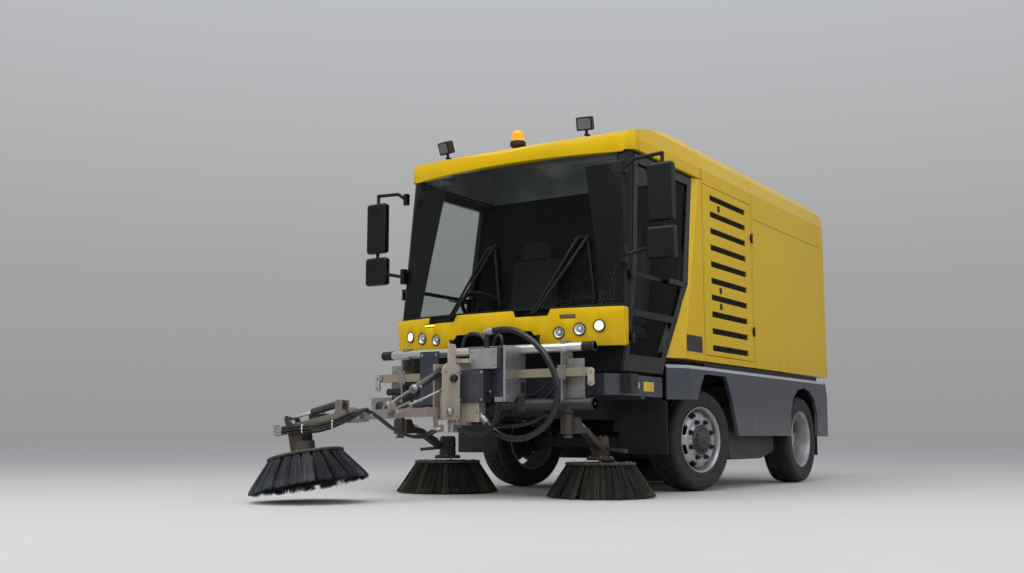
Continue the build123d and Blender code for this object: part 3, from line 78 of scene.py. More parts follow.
class Mat:
    """A material with a principled shader and short helpers for its nodes."""

    def __init__(self, name):
        self.m = bpy.data.materials.new(name)
        self.m.use_nodes = True
        self.nt = self.m.node_tree
        self.nt.nodes.clear()
        self.out = self.nt.nodes.new("ShaderNodeOutputMaterial")
        self.b = self.nt.nodes.new("ShaderNodeBsdfPrincipled")
        self.nt.links.new(self.b.outputs[0], self.out.inputs[0])
        self.tc = self.nt.nodes.new("ShaderNodeTexCoord")
        self.geo = None

    def link(self, a, b):
        self.nt.links.new(a, b)

    def new(self, kind, **props):
        n = self.nt.nodes.new(kind)
        for k, v in props.items():
            setattr(n, k, v)
        return n

    def set(self, name, value):
        self.b.inputs[name].default_value = value

    def coords(self, scale=(1, 1, 1), rot=(0, 0, 0), loc=(0, 0, 0)):
        mp = self.new("ShaderNodeMapping")
        mp.inputs["Scale"].default_value = scale
        mp.inputs["Rotation"].default_value = rot
        mp.inputs["Location"].default_value = loc
        self.link(self.tc.outputs["Object"], mp.inputs["Vector"])
        return mp.outputs[0]

    def noise(self, scale, detail=4.0, rough=0.55, dist=0.0, vec=None, dims=None):
        n = self.new("ShaderNodeTexNoise")
        n.inputs["Scale"].default_value = scale
        n.inputs["Detail"].default_value = detail
        n.inputs["Roughness"].default_value = rough
        n.inputs["Distortion"].default_value = dist
        self.link(vec if vec is not None else self.tc.outputs["Object"],
                  n.inputs["Vector"])
        return n.outputs["Fac"]

    def voronoi(self, scale, feature="F1", vec=None, out="Distance", rand=1.0):
        n = self.new("ShaderNodeTexVoronoi", feature=feature)
        n.inputs["Scale"].default_value = scale
        if "Randomness" in n.inputs:
            n.inputs["Randomness"].default_value = rand
        self.link(vec if vec is not None else self.tc.outputs["Object"],
                  n.inputs["Vector"])
        return n.outputs[out]

    def wave(self, scale, axis="X", vec=None, dist=0.0, profile="SIN"):
        n = self.new("ShaderNodeTexWave", wave_type="BANDS",
                     bands_direction=axis, wave_profile=profile)
        n.inputs["Scale"].default_value = scale
        n.inputs["Distortion"].default_value = dist
        self.link(vec if vec is not None else self.tc.outputs["Object"],
                  n.inputs["Vector"])
        return n.outputs["Fac"]

    def ramp(self, fac, stops, mode="LINEAR"):
        n = self.new("ShaderNodeValToRGB")
        n.color_ramp.interpolation = mode
        els = n.color_ramp.elements
        while len(els) < len(stops):
            els.new(0.5)
        for e, (p, c) in zip(els, stops):
            e.position = p
            e.color = (c, c, c, 1) if isinstance(c, (int, float)) else (*c, 1)
        self.link(fac, n.inputs[0])
        return n.outputs["Color"]

    def math(self, op, a, b=None, c=None, clamp=False):
        n = self.new("ShaderNodeMath", operation=op, use_clamp=clamp)
        for i, v in enumerate((a, b, c)):
            if v is None:
                continue
            if isinstance(v, (int, float)):
                n.inputs[i].default_value = v
            else:
                self.link(v, n.inputs[i])
        return n.outputs[0]

    def mix(self, fac, a, b, blend="MIX"):
        n = self.new("ShaderNodeMix", data_type="RGBA", blend_type=blend)
        n.clamp_factor = True
        for sock, v in ((n.inputs[0], fac), (n.inputs[6], a), (n.inputs[7], b)):
            if isinstance(v, (int, float)):
                sock.default_value = v
            elif isinstance(v, (tuple, list)):
                sock.default_value = (*v, 1) if len(v) == 3 else v
            else:
                self.link(v, sock)
        return n.outputs[2]

    def sep(self, vec=None):
        n = self.new("ShaderNodeSeparateXYZ")
        self.link(vec if vec is not None else self.tc.outputs["Object"], n.inputs[0])
        return n.outputs

    def rangemap(self, v, a, b, c=0.0, d=1.0, smooth=True):
        n = self.new("ShaderNodeMapRange",
                     interpolation_type="SMOOTHSTEP" if smooth else "LINEAR")
        n.inputs["From Min"].default_value = a
        n.inputs["From Max"].default_value = b
        n.inputs["To Min"].default_value = c
        n.inputs["To Max"].default_value = d
        self.link(v, n.inputs["Value"])
        return n.outputs[0]

    def normal_z(self):
        g = self.new("ShaderNodeNewGeometry")
        s = self.new("ShaderNodeSeparateXYZ")
        self.link(g.outputs["Normal"], s.inputs[0])
        return s.outputs[2]

    def pointiness(self):
        g = self.new("ShaderNodeNewGeometry")
        return g.outputs["Pointiness"]

    def bump(self, height, strength=0.3, dist=0.001, prev=None):
        n = self.new("ShaderNodeBump")
        n.inputs["Strength"].default_value = strength
        n.inputs["Distance"].default_value = dist
        self.link(height, n.inputs["Height"])
        if prev is not None:
            self.link(prev, n.inputs["Normal"])
        return n.outputs[0]

    def edge(self, radius=0.004):
        """How much the surface bends near a point: 1 at sharp edges."""
        bev = self.new("ShaderNodeBevel", samples=4)
        bev.inputs["Radius"].default_value = radius
        geo = self.new("ShaderNodeNewGeometry")
        d = self.new("ShaderNodeVectorMath", operation="DOT_PRODUCT")
        self.link(bev.outputs[0], d.inputs[0])
        self.link(geo.outputs["Normal"], d.inputs[1])
        return self.rangemap(d.outputs["Value"], 0.995, 0.80)


def srgb(r, g, b):
    """An 8-bit display colour as linear values."""
    def f(c):
        c /= 255.0
        return c / 12.92 if c <= 0.04045 else ((c + 0.055) / 1.055) ** 2.4
    return (f(r), f(g), f(b))


MATS = {}
BAR_Z, BAR_Y, BAR_R, BAR_X = 1040.0, -1767.0, 33.0, 925.0
TUBE_Z, TUBE_Y, TUBE_S = 865.0, -1800.0, 58.0
LOW_Z, LOW_Y, LOW_R = 650.0, -1800.0, 41.0



def paint(name, colour, rough=0.32, coat=0.5, dirt=srgb(120, 110, 92),
          dirt_low=(0.35, 1.1), dirt_amount=0.5, vary=0.10, chips=None,
          metallic=0.0, peel=0.15, top_dust=0.25, speck=0.35):
    """Painted panel: slight colour drift, orange peel, dust that gathers low
    down and on flat tops, and small specks."""
    m = Mat(name)
    z = m.sep()[2]
    big = m.noise(1.3, 5, 0.6)
    fine = m.noise(38.0, 4, 0.6)
    dark = tuple(c * (1 - vary) for c in colour)
    light = tuple(min(1, c * (1 + vary * 0.6)) for c in colour)
    base = m.mix(m.ramp(big, [(0.32, 0.0), (0.68, 1.0)]), dark, light)
    # dust film, more at the bottom
    low = m.rangemap(z, dirt_low[1], dirt_low[0])
    streak = m.noise(9.0, 5, 0.65, vec=m.coords((1.6, 1.6, 0.22)))
    blot = m.noise(3.2, 6, 0.62)
    mask = m.math("MULTIPLY", low, m.ramp(streak, [(0.34, 0.1), (0.72, 1.0)]))
    mask = m.math("ADD", mask,
                  m.math("MULTIPLY", m.ramp(blot, [(0.52, 0.0), (0.80, 1.0)]), 0.10))
    up = m.rangemap(m.normal_z(), 0.75, 1.0)
    mask = m.math("ADD", mask,
                  m.math("MULTIPLY", up,
                         m.math("MULTIPLY",
                                m.ramp(m.noise(6.0, 6, 0.7), [(0.35, 0.0), (0.75, 1.0)]),
                                top_dust)))
    specks = m.ramp(m.voronoi(95.0, vec=m.coords((1, 1, 1))),
                    [(0.0, 1.0), (0.085, 1.0), (0.12, 0.0)])
    patch = m.ramp(m.noise(2.1, 3, 0.5), [(0.50, 0.0), (0.70, 1.0)])
    mask = m.math("ADD", mask,
                  m.math("MULTIPLY", m.math("MULTIPLY", specks, patch), speck * 0.5))
    mask = m.math("MULTIPLY", mask, dirt_amount, clamp=True)
    col = m.mix(mask, base, dirt)
    if chips:
        e = m.math("MULTIPLY", m.edge(0.004),
                   m.ramp(m.noise(30.0, 5, 0.7), [(0.50, 0.0), (0.60, 1.0)]))
        col = m.mix(e, col, chips)
    m.link(col, m.b.inputs["Base Color"])
    r = m.math("ADD", m.rangemap(fine, 0.3, 0.7, rough - 0.04, rough + 0.05),
               m.math("MULTIPLY", mask, 0.45), clamp=True)
    m.link(r, m.b.inputs["Roughness"])
    m.set("Metallic", metallic)
    m.set("Coat Weight", coat)
    m.set("Coat Roughness", 0.10)
    h = m.math("ADD", m.math("MULTIPLY", m.noise(210.0, 2, 0.5), 0.6),
               m.math("MULTIPLY", m.noise(1.7, 2, 0.4), 3.0))
    m.link(m.bump(h, peel, 0.0006), m.b.inputs["Normal"])
    MATS[name] = m.m
    return m.m


def metal(name, colour, rough=0.35, metallic=0.9, brush=None, rust=0.0,
          grime=srgb(70, 64, 56), grime_amount=0.4, edge_light=None, spec=0.5):
    """Bare or plated metal: brushing, cloudy tarnish, grime in patches."""
    m = Mat(name)
    cloud = m.noise(7.0, 6, 0.62)
    fine = m.noise(90.0, 4, 0.6)
    lo = tuple(c * 0.80 for c in colour)
    hi = tuple(min(1, c * 1.10) for c in colour)
    col = m.mix(m.ramp(cloud, [(0.3, 0.0), (0.7, 1.0)]), lo, hi)
    g = m.math("MULTIPLY", m.ramp(m.noise(4.5, 7, 0.68), [(0.47, 0.0), (0.68, 1.0)]),
               grime_amount)
    col = m.mix(g, col, grime)
    if rust:
        rm = m.math("MULTIPLY", m.ramp(m.noise(11.0, 8, 0.7), [(0.58, 0.0), (0.68, 1.0)]), rust)
        rcol = m.mix(m.noise(60.0, 4, 0.6), srgb(96, 52, 26), srgb(150, 92, 48))
        col = m.mix(rm, col, rcol)
    if edge_light:
        col = m.mix(m.math("MULTIPLY", m.edge(0.003), 0.7), col, edge_light)
    m.link(col, m.b.inputs["Base Color"])
    r = m.math("ADD", m.rangemap(fine, 0.3, 0.7, rough - 0.06, rough + 0.08),
               m.math("MULTIPLY", g, 0.35), clamp=True)
    m.link(r, m.b.inputs["Roughness"])
    m.set("Metallic", metallic)
    if brush:
        h = m.noise(60.0, 3, 0.6, vec=m.coords(brush))
        n1 = m.bump(h, 0.25, 0.0004)
    else:
        n1 = m.bump(fine, 0.25, 0.0004)
    m.link(m.bump(cloud, 0.15, 0.002, n1), m.b.inputs["Normal"])
    MATS[name] = m.m
    return m.m


def plastic(name, colour, rough=0.5, grain=260.0, grain_amount=0.35, dust=0.25,
            dust_colour=srgb(128, 120, 106), spec=0.5, low=(0.2, 1.0)):
    """Moulded plastic or rubber: fine grain, dust on tops and low down."""
    m = Mat(name)
    cloud = m.noise(5.0, 5, 0.6)
    fine = m.noise(grain, 3, 0.6)
    lo = tuple(c * 0.78 for c in colour)
    hi = tuple(min(1, c * 1.22) for c in colour)
    col = m.mix(m.ramp(cloud, [(0.3, 0.0), (0.7, 1.0)]), lo, hi)
    up = m.rangemap(m.normal_z(), 0.3, 1.0, 0.25, 1.0)
    z = m.sep()[2]
    lowm = m.rangemap(z, low[1], low[0], 0.35, 1.0)
    g = m.math("MULTIPLY", m.ramp(m.noise(13.0, 7, 0.7), [(0.38, 0.0), (0.74, 1.0)]),
               m.math("MULTIPLY", up, m.math("MULTIPLY", lowm, dust)))
    col = m.mix(g, col, dust_colour)
    m.link(col, m.b.inputs["Base Color"])
    r = m.math("ADD", m.rangemap(fine, 0.3, 0.7, rough - 0.05, rough + 0.06),
               m.math("MULTIPLY", g, 0.5), clamp=True)
    m.link(r, m.b.inputs["Roughness"])
    m.link(m.bump(fine, grain_amount, 0.0004), m.b.inputs["Normal"])
    MATS[name] = m.m
    return m.m


def window(name, tint, opacity=0.35, smudge=0.12):
    """Toughened glass: clear to light, dark tint, mirror gloss that grows at
    grazing angles, and a faint dusty film."""
    m = Mat(name)
    film = m.math("MULTIPLY", m.ramp(m.noise(5.0, 6, 0.65), [(0.42, 0.0), (0.80, 1.0)]),
                  m.ramp(m.noise(17.0, 5, 0.6, vec=m.coords((1.2, 1.2, 0.25))),
                         [(0.35, 0.1), (0.85, 1.0)]))
    m.link(m.mix(m.math("MULTIPLY", film, smudge), tint, srgb(120, 116, 106)),
           m.b.inputs["Base Color"])
    m.link(m.math("ADD", m.math("MULTIPLY", film, 0.10), 0.015),
           m.b.inputs["Roughness"])
    m.set("IOR", 1.52)
    m.set("Coat Weight", 0.6)
    m.set("Coat Roughness", 0.01)
    tr = m.new("ShaderNodeBsdfTransparent")
    tr.inputs[0].default_value = (0.66, 0.70, 0.69, 1)
    fr = m.new("ShaderNodeFresnel")
    fr.inputs["IOR"].default_value = 1.45
    geo = m.new("ShaderNodeNewGeometry")
    outer = m.math("SUBTRACT", 0.9, m.math("MULTIPLY", geo.outputs["Backfacing"], 0.9))
    fac = m.math("ADD", m.math("ADD", m.math("MULTIPLY", fr.outputs[0], outer), opacity),
                 m.math("MULTIPLY", film, 0.05), clamp=True)
    mx = m.new("ShaderNodeMixShader")
    m.link(fac, mx.inputs[0])
    m.link(tr.outputs[0], mx.inputs[1])
    m.link(m.b.outputs[0], mx.inputs[2])
    m.link(mx.outputs[0], m.out.inputs[0])
    MATS[name] = m.m
    return m.m


def plain_metal(name, colour, rough=0.3, metallic=0.85, low=None, dark=srgb(60, 60, 62),
                dirt_amount=0.35):
    """Smooth plated metal with a little soft tarnish and road film."""
    m = Mat(name)
    cloud = m.noise(3.0, 3, 0.5)
    g = m.math("MULTIPLY", m.ramp(m.noise(9.0, 6, 0.65), [(0.45, 0.0), (0.75, 1.0)]),
               dirt_amount)
    col = m.mix(m.ramp(cloud, [(0.35, 0.0), (0.65, 1.0)]), tuple(c * 0.88 for c in colour),
                colour)
    if low:
        col = m.mix(m.rangemap(m.sep()[2], low[1], low[0]), col, dark)
    col = m.mix(g, col, dark)
    m.link(col, m.b.inputs["Base Color"])
    m.link(m.math("ADD", m.math("MULTIPLY", g, 0.5), rough, clamp=True),
           m.b.inputs["Roughness"])
    m.set("Metallic", metallic)
    MATS[name] = m.m
    return m.m


def glow(name, colour, strength, base):
    """Lit lens: prismatic ribs over a light source."""
    m = Mat(name)
    ribs = m.wave(40.0, "X")
    m.link(m.mix(ribs, tuple(c * 0.8 for c in base), base), m.b.inputs["Base Color"])
    m.set("Roughness", 0.15)
    m.b.inputs["Emission Color"].default_value = (*colour, 1)
    m.link(m.rangemap(m.noise(90.0, 2, 0.5), 0.3, 0.7, strength * 0.8, strength),
           m.b.inputs["Emission Strength"])
    m.link(m.bump(ribs, 0.3, 0.0006), m.b.inputs["Normal"])
    MATS[name] = m.m
    return m.m


def lens(name, colour, rough=0.08, ribs=70.0):
    """Moulded lens: coloured, glossy, with fine prism ribs."""
    m = Mat(name)
    r = m.wave(ribs, "Z")
    m.link(m.mix(m.math("MULTIPLY", r, 0.35), colour, tuple(min(1, c * 1.7 + 0.02) for c in colour)),
           m.b.inputs["Base Color"])
    m.link(m.rangemap(m.noise(30.0, 4, 0.6), 0.3, 0.7, rough, rough + 0.10),
           m.b.inputs["Roughness"])
    m.set("Coat Weight", 1.0)
    m.set("Coat Roughness", 0.03)
    m.link(m.bump(r, 0.25, 0.0008), m.b.inputs["Normal"])
    MATS[name] = m.m
    return m.m


YELLOW = (0.62, 0.40, 0.0022)
paint("yellow_body", YELLOW, rough=0.30, coat=0.25, dirt_low=(1.00, 1.30),
      dirt_amount=0.30, dirt=srgb(150, 124, 50), vary=0.03, top_dust=0.06, peel=0.03,
      speck=0.03)
MATS["yellow_body"].node_tree.nodes["Principled BSDF"].inputs[
    "Specular IOR Level"].default_value = 0.1
paint("skirt_grey", srgb(50, 55, 67), rough=0.42, coat=0.2, dirt=srgb(122, 118, 110),
      dirt_low=(0.40, 0.85), dirt_amount=0.55, vary=0.10, peel=0.2, speck=0.5)
paint("chassis_black", srgb(30, 31, 34), rough=0.55, coat=0.0, dirt=srgb(98, 90, 78),
      dirt_low=(0.15, 0.9), dirt_amount=0.6, vary=0.2, peel=0.5, top_dust=0.6)
paint("arm_black", srgb(28, 28, 31), rough=0.5, coat=0.1, dirt=srgb(92, 78, 60),
      dirt_low=(0.15, 0.8), dirt_amount=0.75, vary=0.2, peel=0.5, chips=srgb(110, 92, 74),
      top_dust=0.7)
paint("implement_beige", srgb(168, 157, 146), rough=0.40, coat=0.15,
      dirt=srgb(104, 92, 74), dirt_low=(0.3, 1.1), dirt_amount=0.65, vary=0.10,
      peel=0.4, chips=srgb(120, 104, 82), top_dust=0.6)
paint("boom_mauve", srgb(150, 138, 132), rough=0.42, coat=0.1,
      dirt=srgb(88, 80, 72), dirt_low=(0.3, 1.1), dirt_amount=0.7, vary=0.12, peel=0.4,
      chips=srgb(112, 98, 84), top_dust=0.6)
paint("arm_taupe", srgb(118, 112, 100), rough=0.46, coat=0.1,
      dirt=srgb(74, 68, 58), dirt_low=(0.3, 1.1), dirt_amount=0.8, vary=0.16, peel=0.4,
      chips=srgb(150, 142, 126), top_dust=0.6)
paint("lever_steel", srgb(96, 88, 76), rough=0.44, coat=0.1, metallic=0.3,
      dirt=srgb(58, 50, 40), dirt_low=(0.15, 0.9), dirt_amount=0.8, vary=0.2, peel=0.4,
      chips=srgb(140, 128, 108), top_dust=0.6)
paint("tube_tan", srgb(138, 127, 108), rough=0.45, coat=0.1, dirt=srgb(96, 84, 64),
      dirt_low=(0.3, 1.1), dirt_amount=0.7, vary=0.14, peel=0.4,
      chips=srgb(110, 92, 70), top_dust=0.6)
paint("plate_dark", srgb(38, 43, 56), rough=0.38, coat=0.2, dirt=srgb(100, 96, 88),
      dirt_low=(0.3, 1.1), dirt_amount=0.4, vary=0.12, peel=0.3)
paint("motor_grey", srgb(54, 54, 64), rough=0.40, coat=0.2, dirt=srgb(90, 86, 80),
      dirt_low=(0.3, 1.1), dirt_amount=0.4, vary=0.1, peel=0.3)
paint("lip_pale", srgb(150, 154, 162), rough=0.40, coat=0.2, dirt=srgb(150, 146, 138),
      dirt_low=(0.40, 0.85), dirt_amount=0.3, vary=0.08, peel=0.2)
paint("door_black", srgb(7, 8, 10), rough=0.14, coat=0.4, dirt=srgb(60, 58, 54),
      dirt_low=(0.9, 1.3), dirt_amount=0.15, vary=0.2, peel=0.05, top_dust=0.1,
      speck=0.1)
paint("box_black", srgb(30, 31, 36), rough=0.36, coat=0.3, dirt=srgb(98, 94, 86),
      dirt_low=(0.3, 1.1), dirt_amount=0.35, vary=0.1, peel=0.2)
metal("zinc", (0.34, 0.335, 0.32), rough=0.42, metallic=0.85, rust=0.2)
metal("yellow_zinc", (0.58, 0.50, 0.33), rough=0.34, metallic=0.8, grime_amount=0.4)
plain_metal("bar_steel", (0.62, 0.62, 0.61), 0.30, 0.75)
plain_metal("aluminium_plate", (0.50, 0.51, 0.52), 0.32, 0.8, dark=srgb(70, 70, 70))
metal("bracket_alu", (0.42, 0.41, 0.39), rough=0.4, metallic=0.6, grime_amount=0.5)
metal("rim_paint", (0.42, 0.43, 0.45), rough=0.34, metallic=0.55,
      grime=srgb(88, 80, 70), grime_amount=0.45)
metal("chrome", (0.75, 0.75, 0.76), rough=0.08, metallic=1.0, grime_amount=0.1)
metal("bolt_steel", (0.42, 0.42, 0.41), rough=0.36, metallic=0.85, rust=0.3)
metal("engine_iron", (0.10, 0.10, 0.10), rough=0.6, metallic=0.5, rust=0.4)
plastic("black_plastic", srgb(9, 10, 12), rough=0.36, dust=0.07)
plastic("matte_black", srgb(14, 14, 15), rough=0.6, dust=0.12)
plastic("cab_black", srgb(10, 11, 13), rough=0.5, dust=0.03)
for _k, _v in (("door_black", 0.15), ("cab_black", 0.25), ("black_plastic", 0.3)):
    MATS[_k].node_tree.nodes["Principled BSDF"].inputs[
        "Specular IOR Level"].default_value = _v
plain_metal("reflector", (0.80, 0.80, 0.81), 0.30, 0.55, dirt_amount=0.05)
plastic("louvre_black", srgb(9, 9, 9), rough=0.7, dust=0.1)
plastic("rubber", srgb(20, 20, 22), rough=0.5, dust=0.2)
plastic("hose_black", srgb(17, 18, 25), rough=0.30, dust=0.14, grain=420.0)
plastic("tyre_rubber", srgb(27, 27, 29), rough=0.70, dust=0.40,
        dust_colour=srgb(112, 106, 98))
plastic("hub_grey", srgb(40, 42, 46), rough=0.45, dust=0.35)
plastic("seat_cloth", srgb(44, 46, 52), rough=0.9, grain=700, grain_amount=0.8, dust=0.1)
plastic("white_plastic", srgb(214, 214, 210), rough=0.4, dust=0.25)
plastic("label_yellow", srgb(196, 170, 40), rough=0.5, dust=0.3)
plastic("blank_black", srgb(14, 14, 15), rough=0.3, dust=0.1)
plastic("grey_trim", srgb(150, 152, 154), rough=0.5, dust=0.2)
window("tinted_glass", srgb(12, 13, 14), opacity=0.05, smudge=0.04)
MATS["tinted_glass"].node_tree.nodes["Transparent BSDF"].inputs[0].default_value = (
    0.88, 0.90, 0.89, 1)
window("door_glass", srgb(8, 9, 10), opacity=0.02, smudge=0.03)
MATS["door_glass"].node_tree.nodes["Transparent BSDF"].inputs[0].default_value = (
    0.93, 0.95, 0.94, 1)
window("clear_glass", srgb(200, 204, 206), opacity=0.06)
MATS["clear_glass"].node_tree.nodes["Transparent BSDF"].inputs[0].default_value = (
    0.97, 0.97, 0.97, 1)
glow("lamp_lit", (1.0, 0.93, 0.74), 0.75, srgb(230, 226, 214))
glow("amber_lit", (1.0, 0.58, 0.10), 1.6, srgb(240, 160, 30))
glow("beacon_amber", (1.0, 0.42, 0.0), 0.45, (0.80, 0.30, 0.003))
lens("amber_lens", (0.72, 0.24, 0.010))
lens("grey_lens", srgb(78, 80, 82))
lens("red_lens", (0.36, 0.010, 0.008))
lens("white_lens", srgb(206, 208, 208))


def bristle(name, root, tip, amount=0.5):
    """Bundled bristles: fine strands, darker at the roots and lighter towards
    their ends, with darker patches at random."""
    m = Mat(name)
    z = m.sep()[2]
    fine = m.noise(190.0, 3, 0.7)
    low = m.rangemap(z, 0.26, 0.02)
    col = m.mix(low, root, tip)
    col = m.mix(m.math("MULTIPLY", m.ramp(m.noise(60.0, 4, 0.6), [(0.40, 0.0), (0.66, 1.0)]),
                       amount), col, tuple(c * 0.35 for c in root))
    m.link(col, m.b.inputs["Base Color"])
    m.link(m.rangemap(fine, 0.3, 0.7, 0.50, 0.72), m.b.inputs["Roughness"])
    m.link(m.bump(fine, 0.4, 0.0006), m.b.inputs["Normal"])
    MATS[name] = m.m
    return m.m


bristle("bristle_blue", srgb(42, 45, 54), srgb(74, 80, 92))
bristle("bristle_blue_light", srgb(70, 72, 80), srgb(112, 118, 128), 0.35)
bristle("bristle_blue_dark", srgb(22, 24, 30), srgb(44, 48, 58))
bristle("bristle_brown", srgb(26, 24, 18), srgb(48, 44, 33))
bristle("bristle_brown_light", srgb(50, 46, 32), srgb(78, 72, 54), 0.4)
bristle("bristle_brown_dark", srgb(13, 12, 10), srgb(26, 24, 19))

SLOT_MATERIAL = {
    "yellow_paint": "yellow_body", "grey_paint": "skirt_grey",
    "chassis_paint": "chassis_black", "implement_paint": "implement_beige",
    "zinc_steel": "zinc", "aluminium": "aluminium_plate", "rim_silver": "rim_paint",
    "chrome_rod": "chrome", "tinted_glass": "tinted_glass",
    "lamp_glass": "clear_glass", "black_plastic": "black_plastic",
    "tyre": "tyre_rubber", "rubber": "rubber", "bristle": "bristle_blue",
    "seat_fabric": "seat_cloth", "engine_iron": "engine_iron",
}
NODE_MATERIAL = {
    "left_side_broom": "bristle_brown", "right_side_broom": "bristle_brown",
    "door_glass_left": "door_glass", "door_glass_right": "door_glass",
    "left_swivel": "arm_black", "right_swivel": "arm_black",
    "left_broom_arm": "arm_black", "right_broom_arm": "arm_black",
    "lift_cylinder_barrel": "box_black", "tilt_cylinder_barrel": "box_black",
    "front_bumper": "plate_dark",
    "broom_head": "arm_black", "cab_shell": "cab_black", "dashboard": "cab_black",
    "boom": "boom_mauve", "outer_arm": "arm_taupe", "mirrors": "black_plastic",
    "cab_door_left": "door_black", "cab_door_right": "door_black",
}
for sub in frame["record"]["subparts"]:
    o = NODES[sub["node"]]
    name = NODE_MATERIAL.get(sub["node"], SLOT_MATERIAL[sub["material_slot"]])
    o.data.materials.clear()
    o.data.materials.append(MATS[name])


def finish_faces(node, rules, tf=None, tol=1.5):
    """Gives the faces of a node that lie inside a box their own finish.
    rules: (x0, x1, y0, y1, z0, z1, material) in vehicle millimetres, or in the
    frame of the matrix tf."""
    o = NODES[node]
    me = o.data
    co = np.zeros(len(me.vertices) * 3, np.float32)
    me.vertices.foreach_get("co", co)
    co = co.reshape(-1, 3) * 1000.0
    co[:, 1] -= OY * 1000.0
    if tf is not None:
        inv = np.array(tf.inverted())
        co = co @ inv[:3, :3].T + inv[:3, 3]
    loops = np.zeros(len(me.loops), np.int32)
    me.loops.foreach_get("vertex_index", loops)
    starts = np.zeros(len(me.polygons), np.int32)
    me.polygons.foreach_get("loop_start", starts)
    tri = loops[starts[:, None] + np.arange(3)[None, :]]
    lo = co[tri].min(1)
    hi = co[tri].max(1)
    idx = np.zeros(len(me.polygons), np.int32)
    names = []
    for x0, x1, y0, y1, z0, z1, mat in rules:
        if mat not in names:
            names.append(mat)
            me.materials.append(MATS[mat])
        a = np.array([min(x0, x1), y0, z0]) - tol
        b = np.array([max(x0, x1), y1, z1]) + tol
        inside = (lo >= a).all(1) & (hi <= b).all(1)
        idx[inside] = names.index(mat) + 1
    me.polygons.foreach_set("material_index", idx)


def line_inside(node, centre, box, mat):
    """Dark lining on the faces of a shell that look in at its middle."""
    me = NODES[node].data
    c = np.zeros(len(me.polygons) * 3, np.float32)
    me.polygons.foreach_get("center", c)
    c = c.reshape(-1, 3) * 1000.0
    c[:, 1] -= OY * 1000.0
    n = np.zeros(len(me.polygons) * 3, np.float32)
    me.polygons.foreach_get("normal", n)
    n = n.reshape(-1, 3)
    look = ((np.array(centre) - c) * n).sum(1) > 0
    x0, x1, y0, y1, z0, z1 = box
    inside = ((c[:, 0] > x0) & (c[:, 0] < x1) & (c[:, 1] > y0) & (c[:, 1] < y1) &
              (c[:, 2] > z0) & (c[:, 2] < z1))
    idx = np.zeros(len(me.polygons), np.int32)
    me.polygons.foreach_get("material_index", idx)
    me.materials.append(MATS[mat])
    idx[look & inside] = len(me.materials) - 1
    me.polygons.foreach_set("material_index", idx)


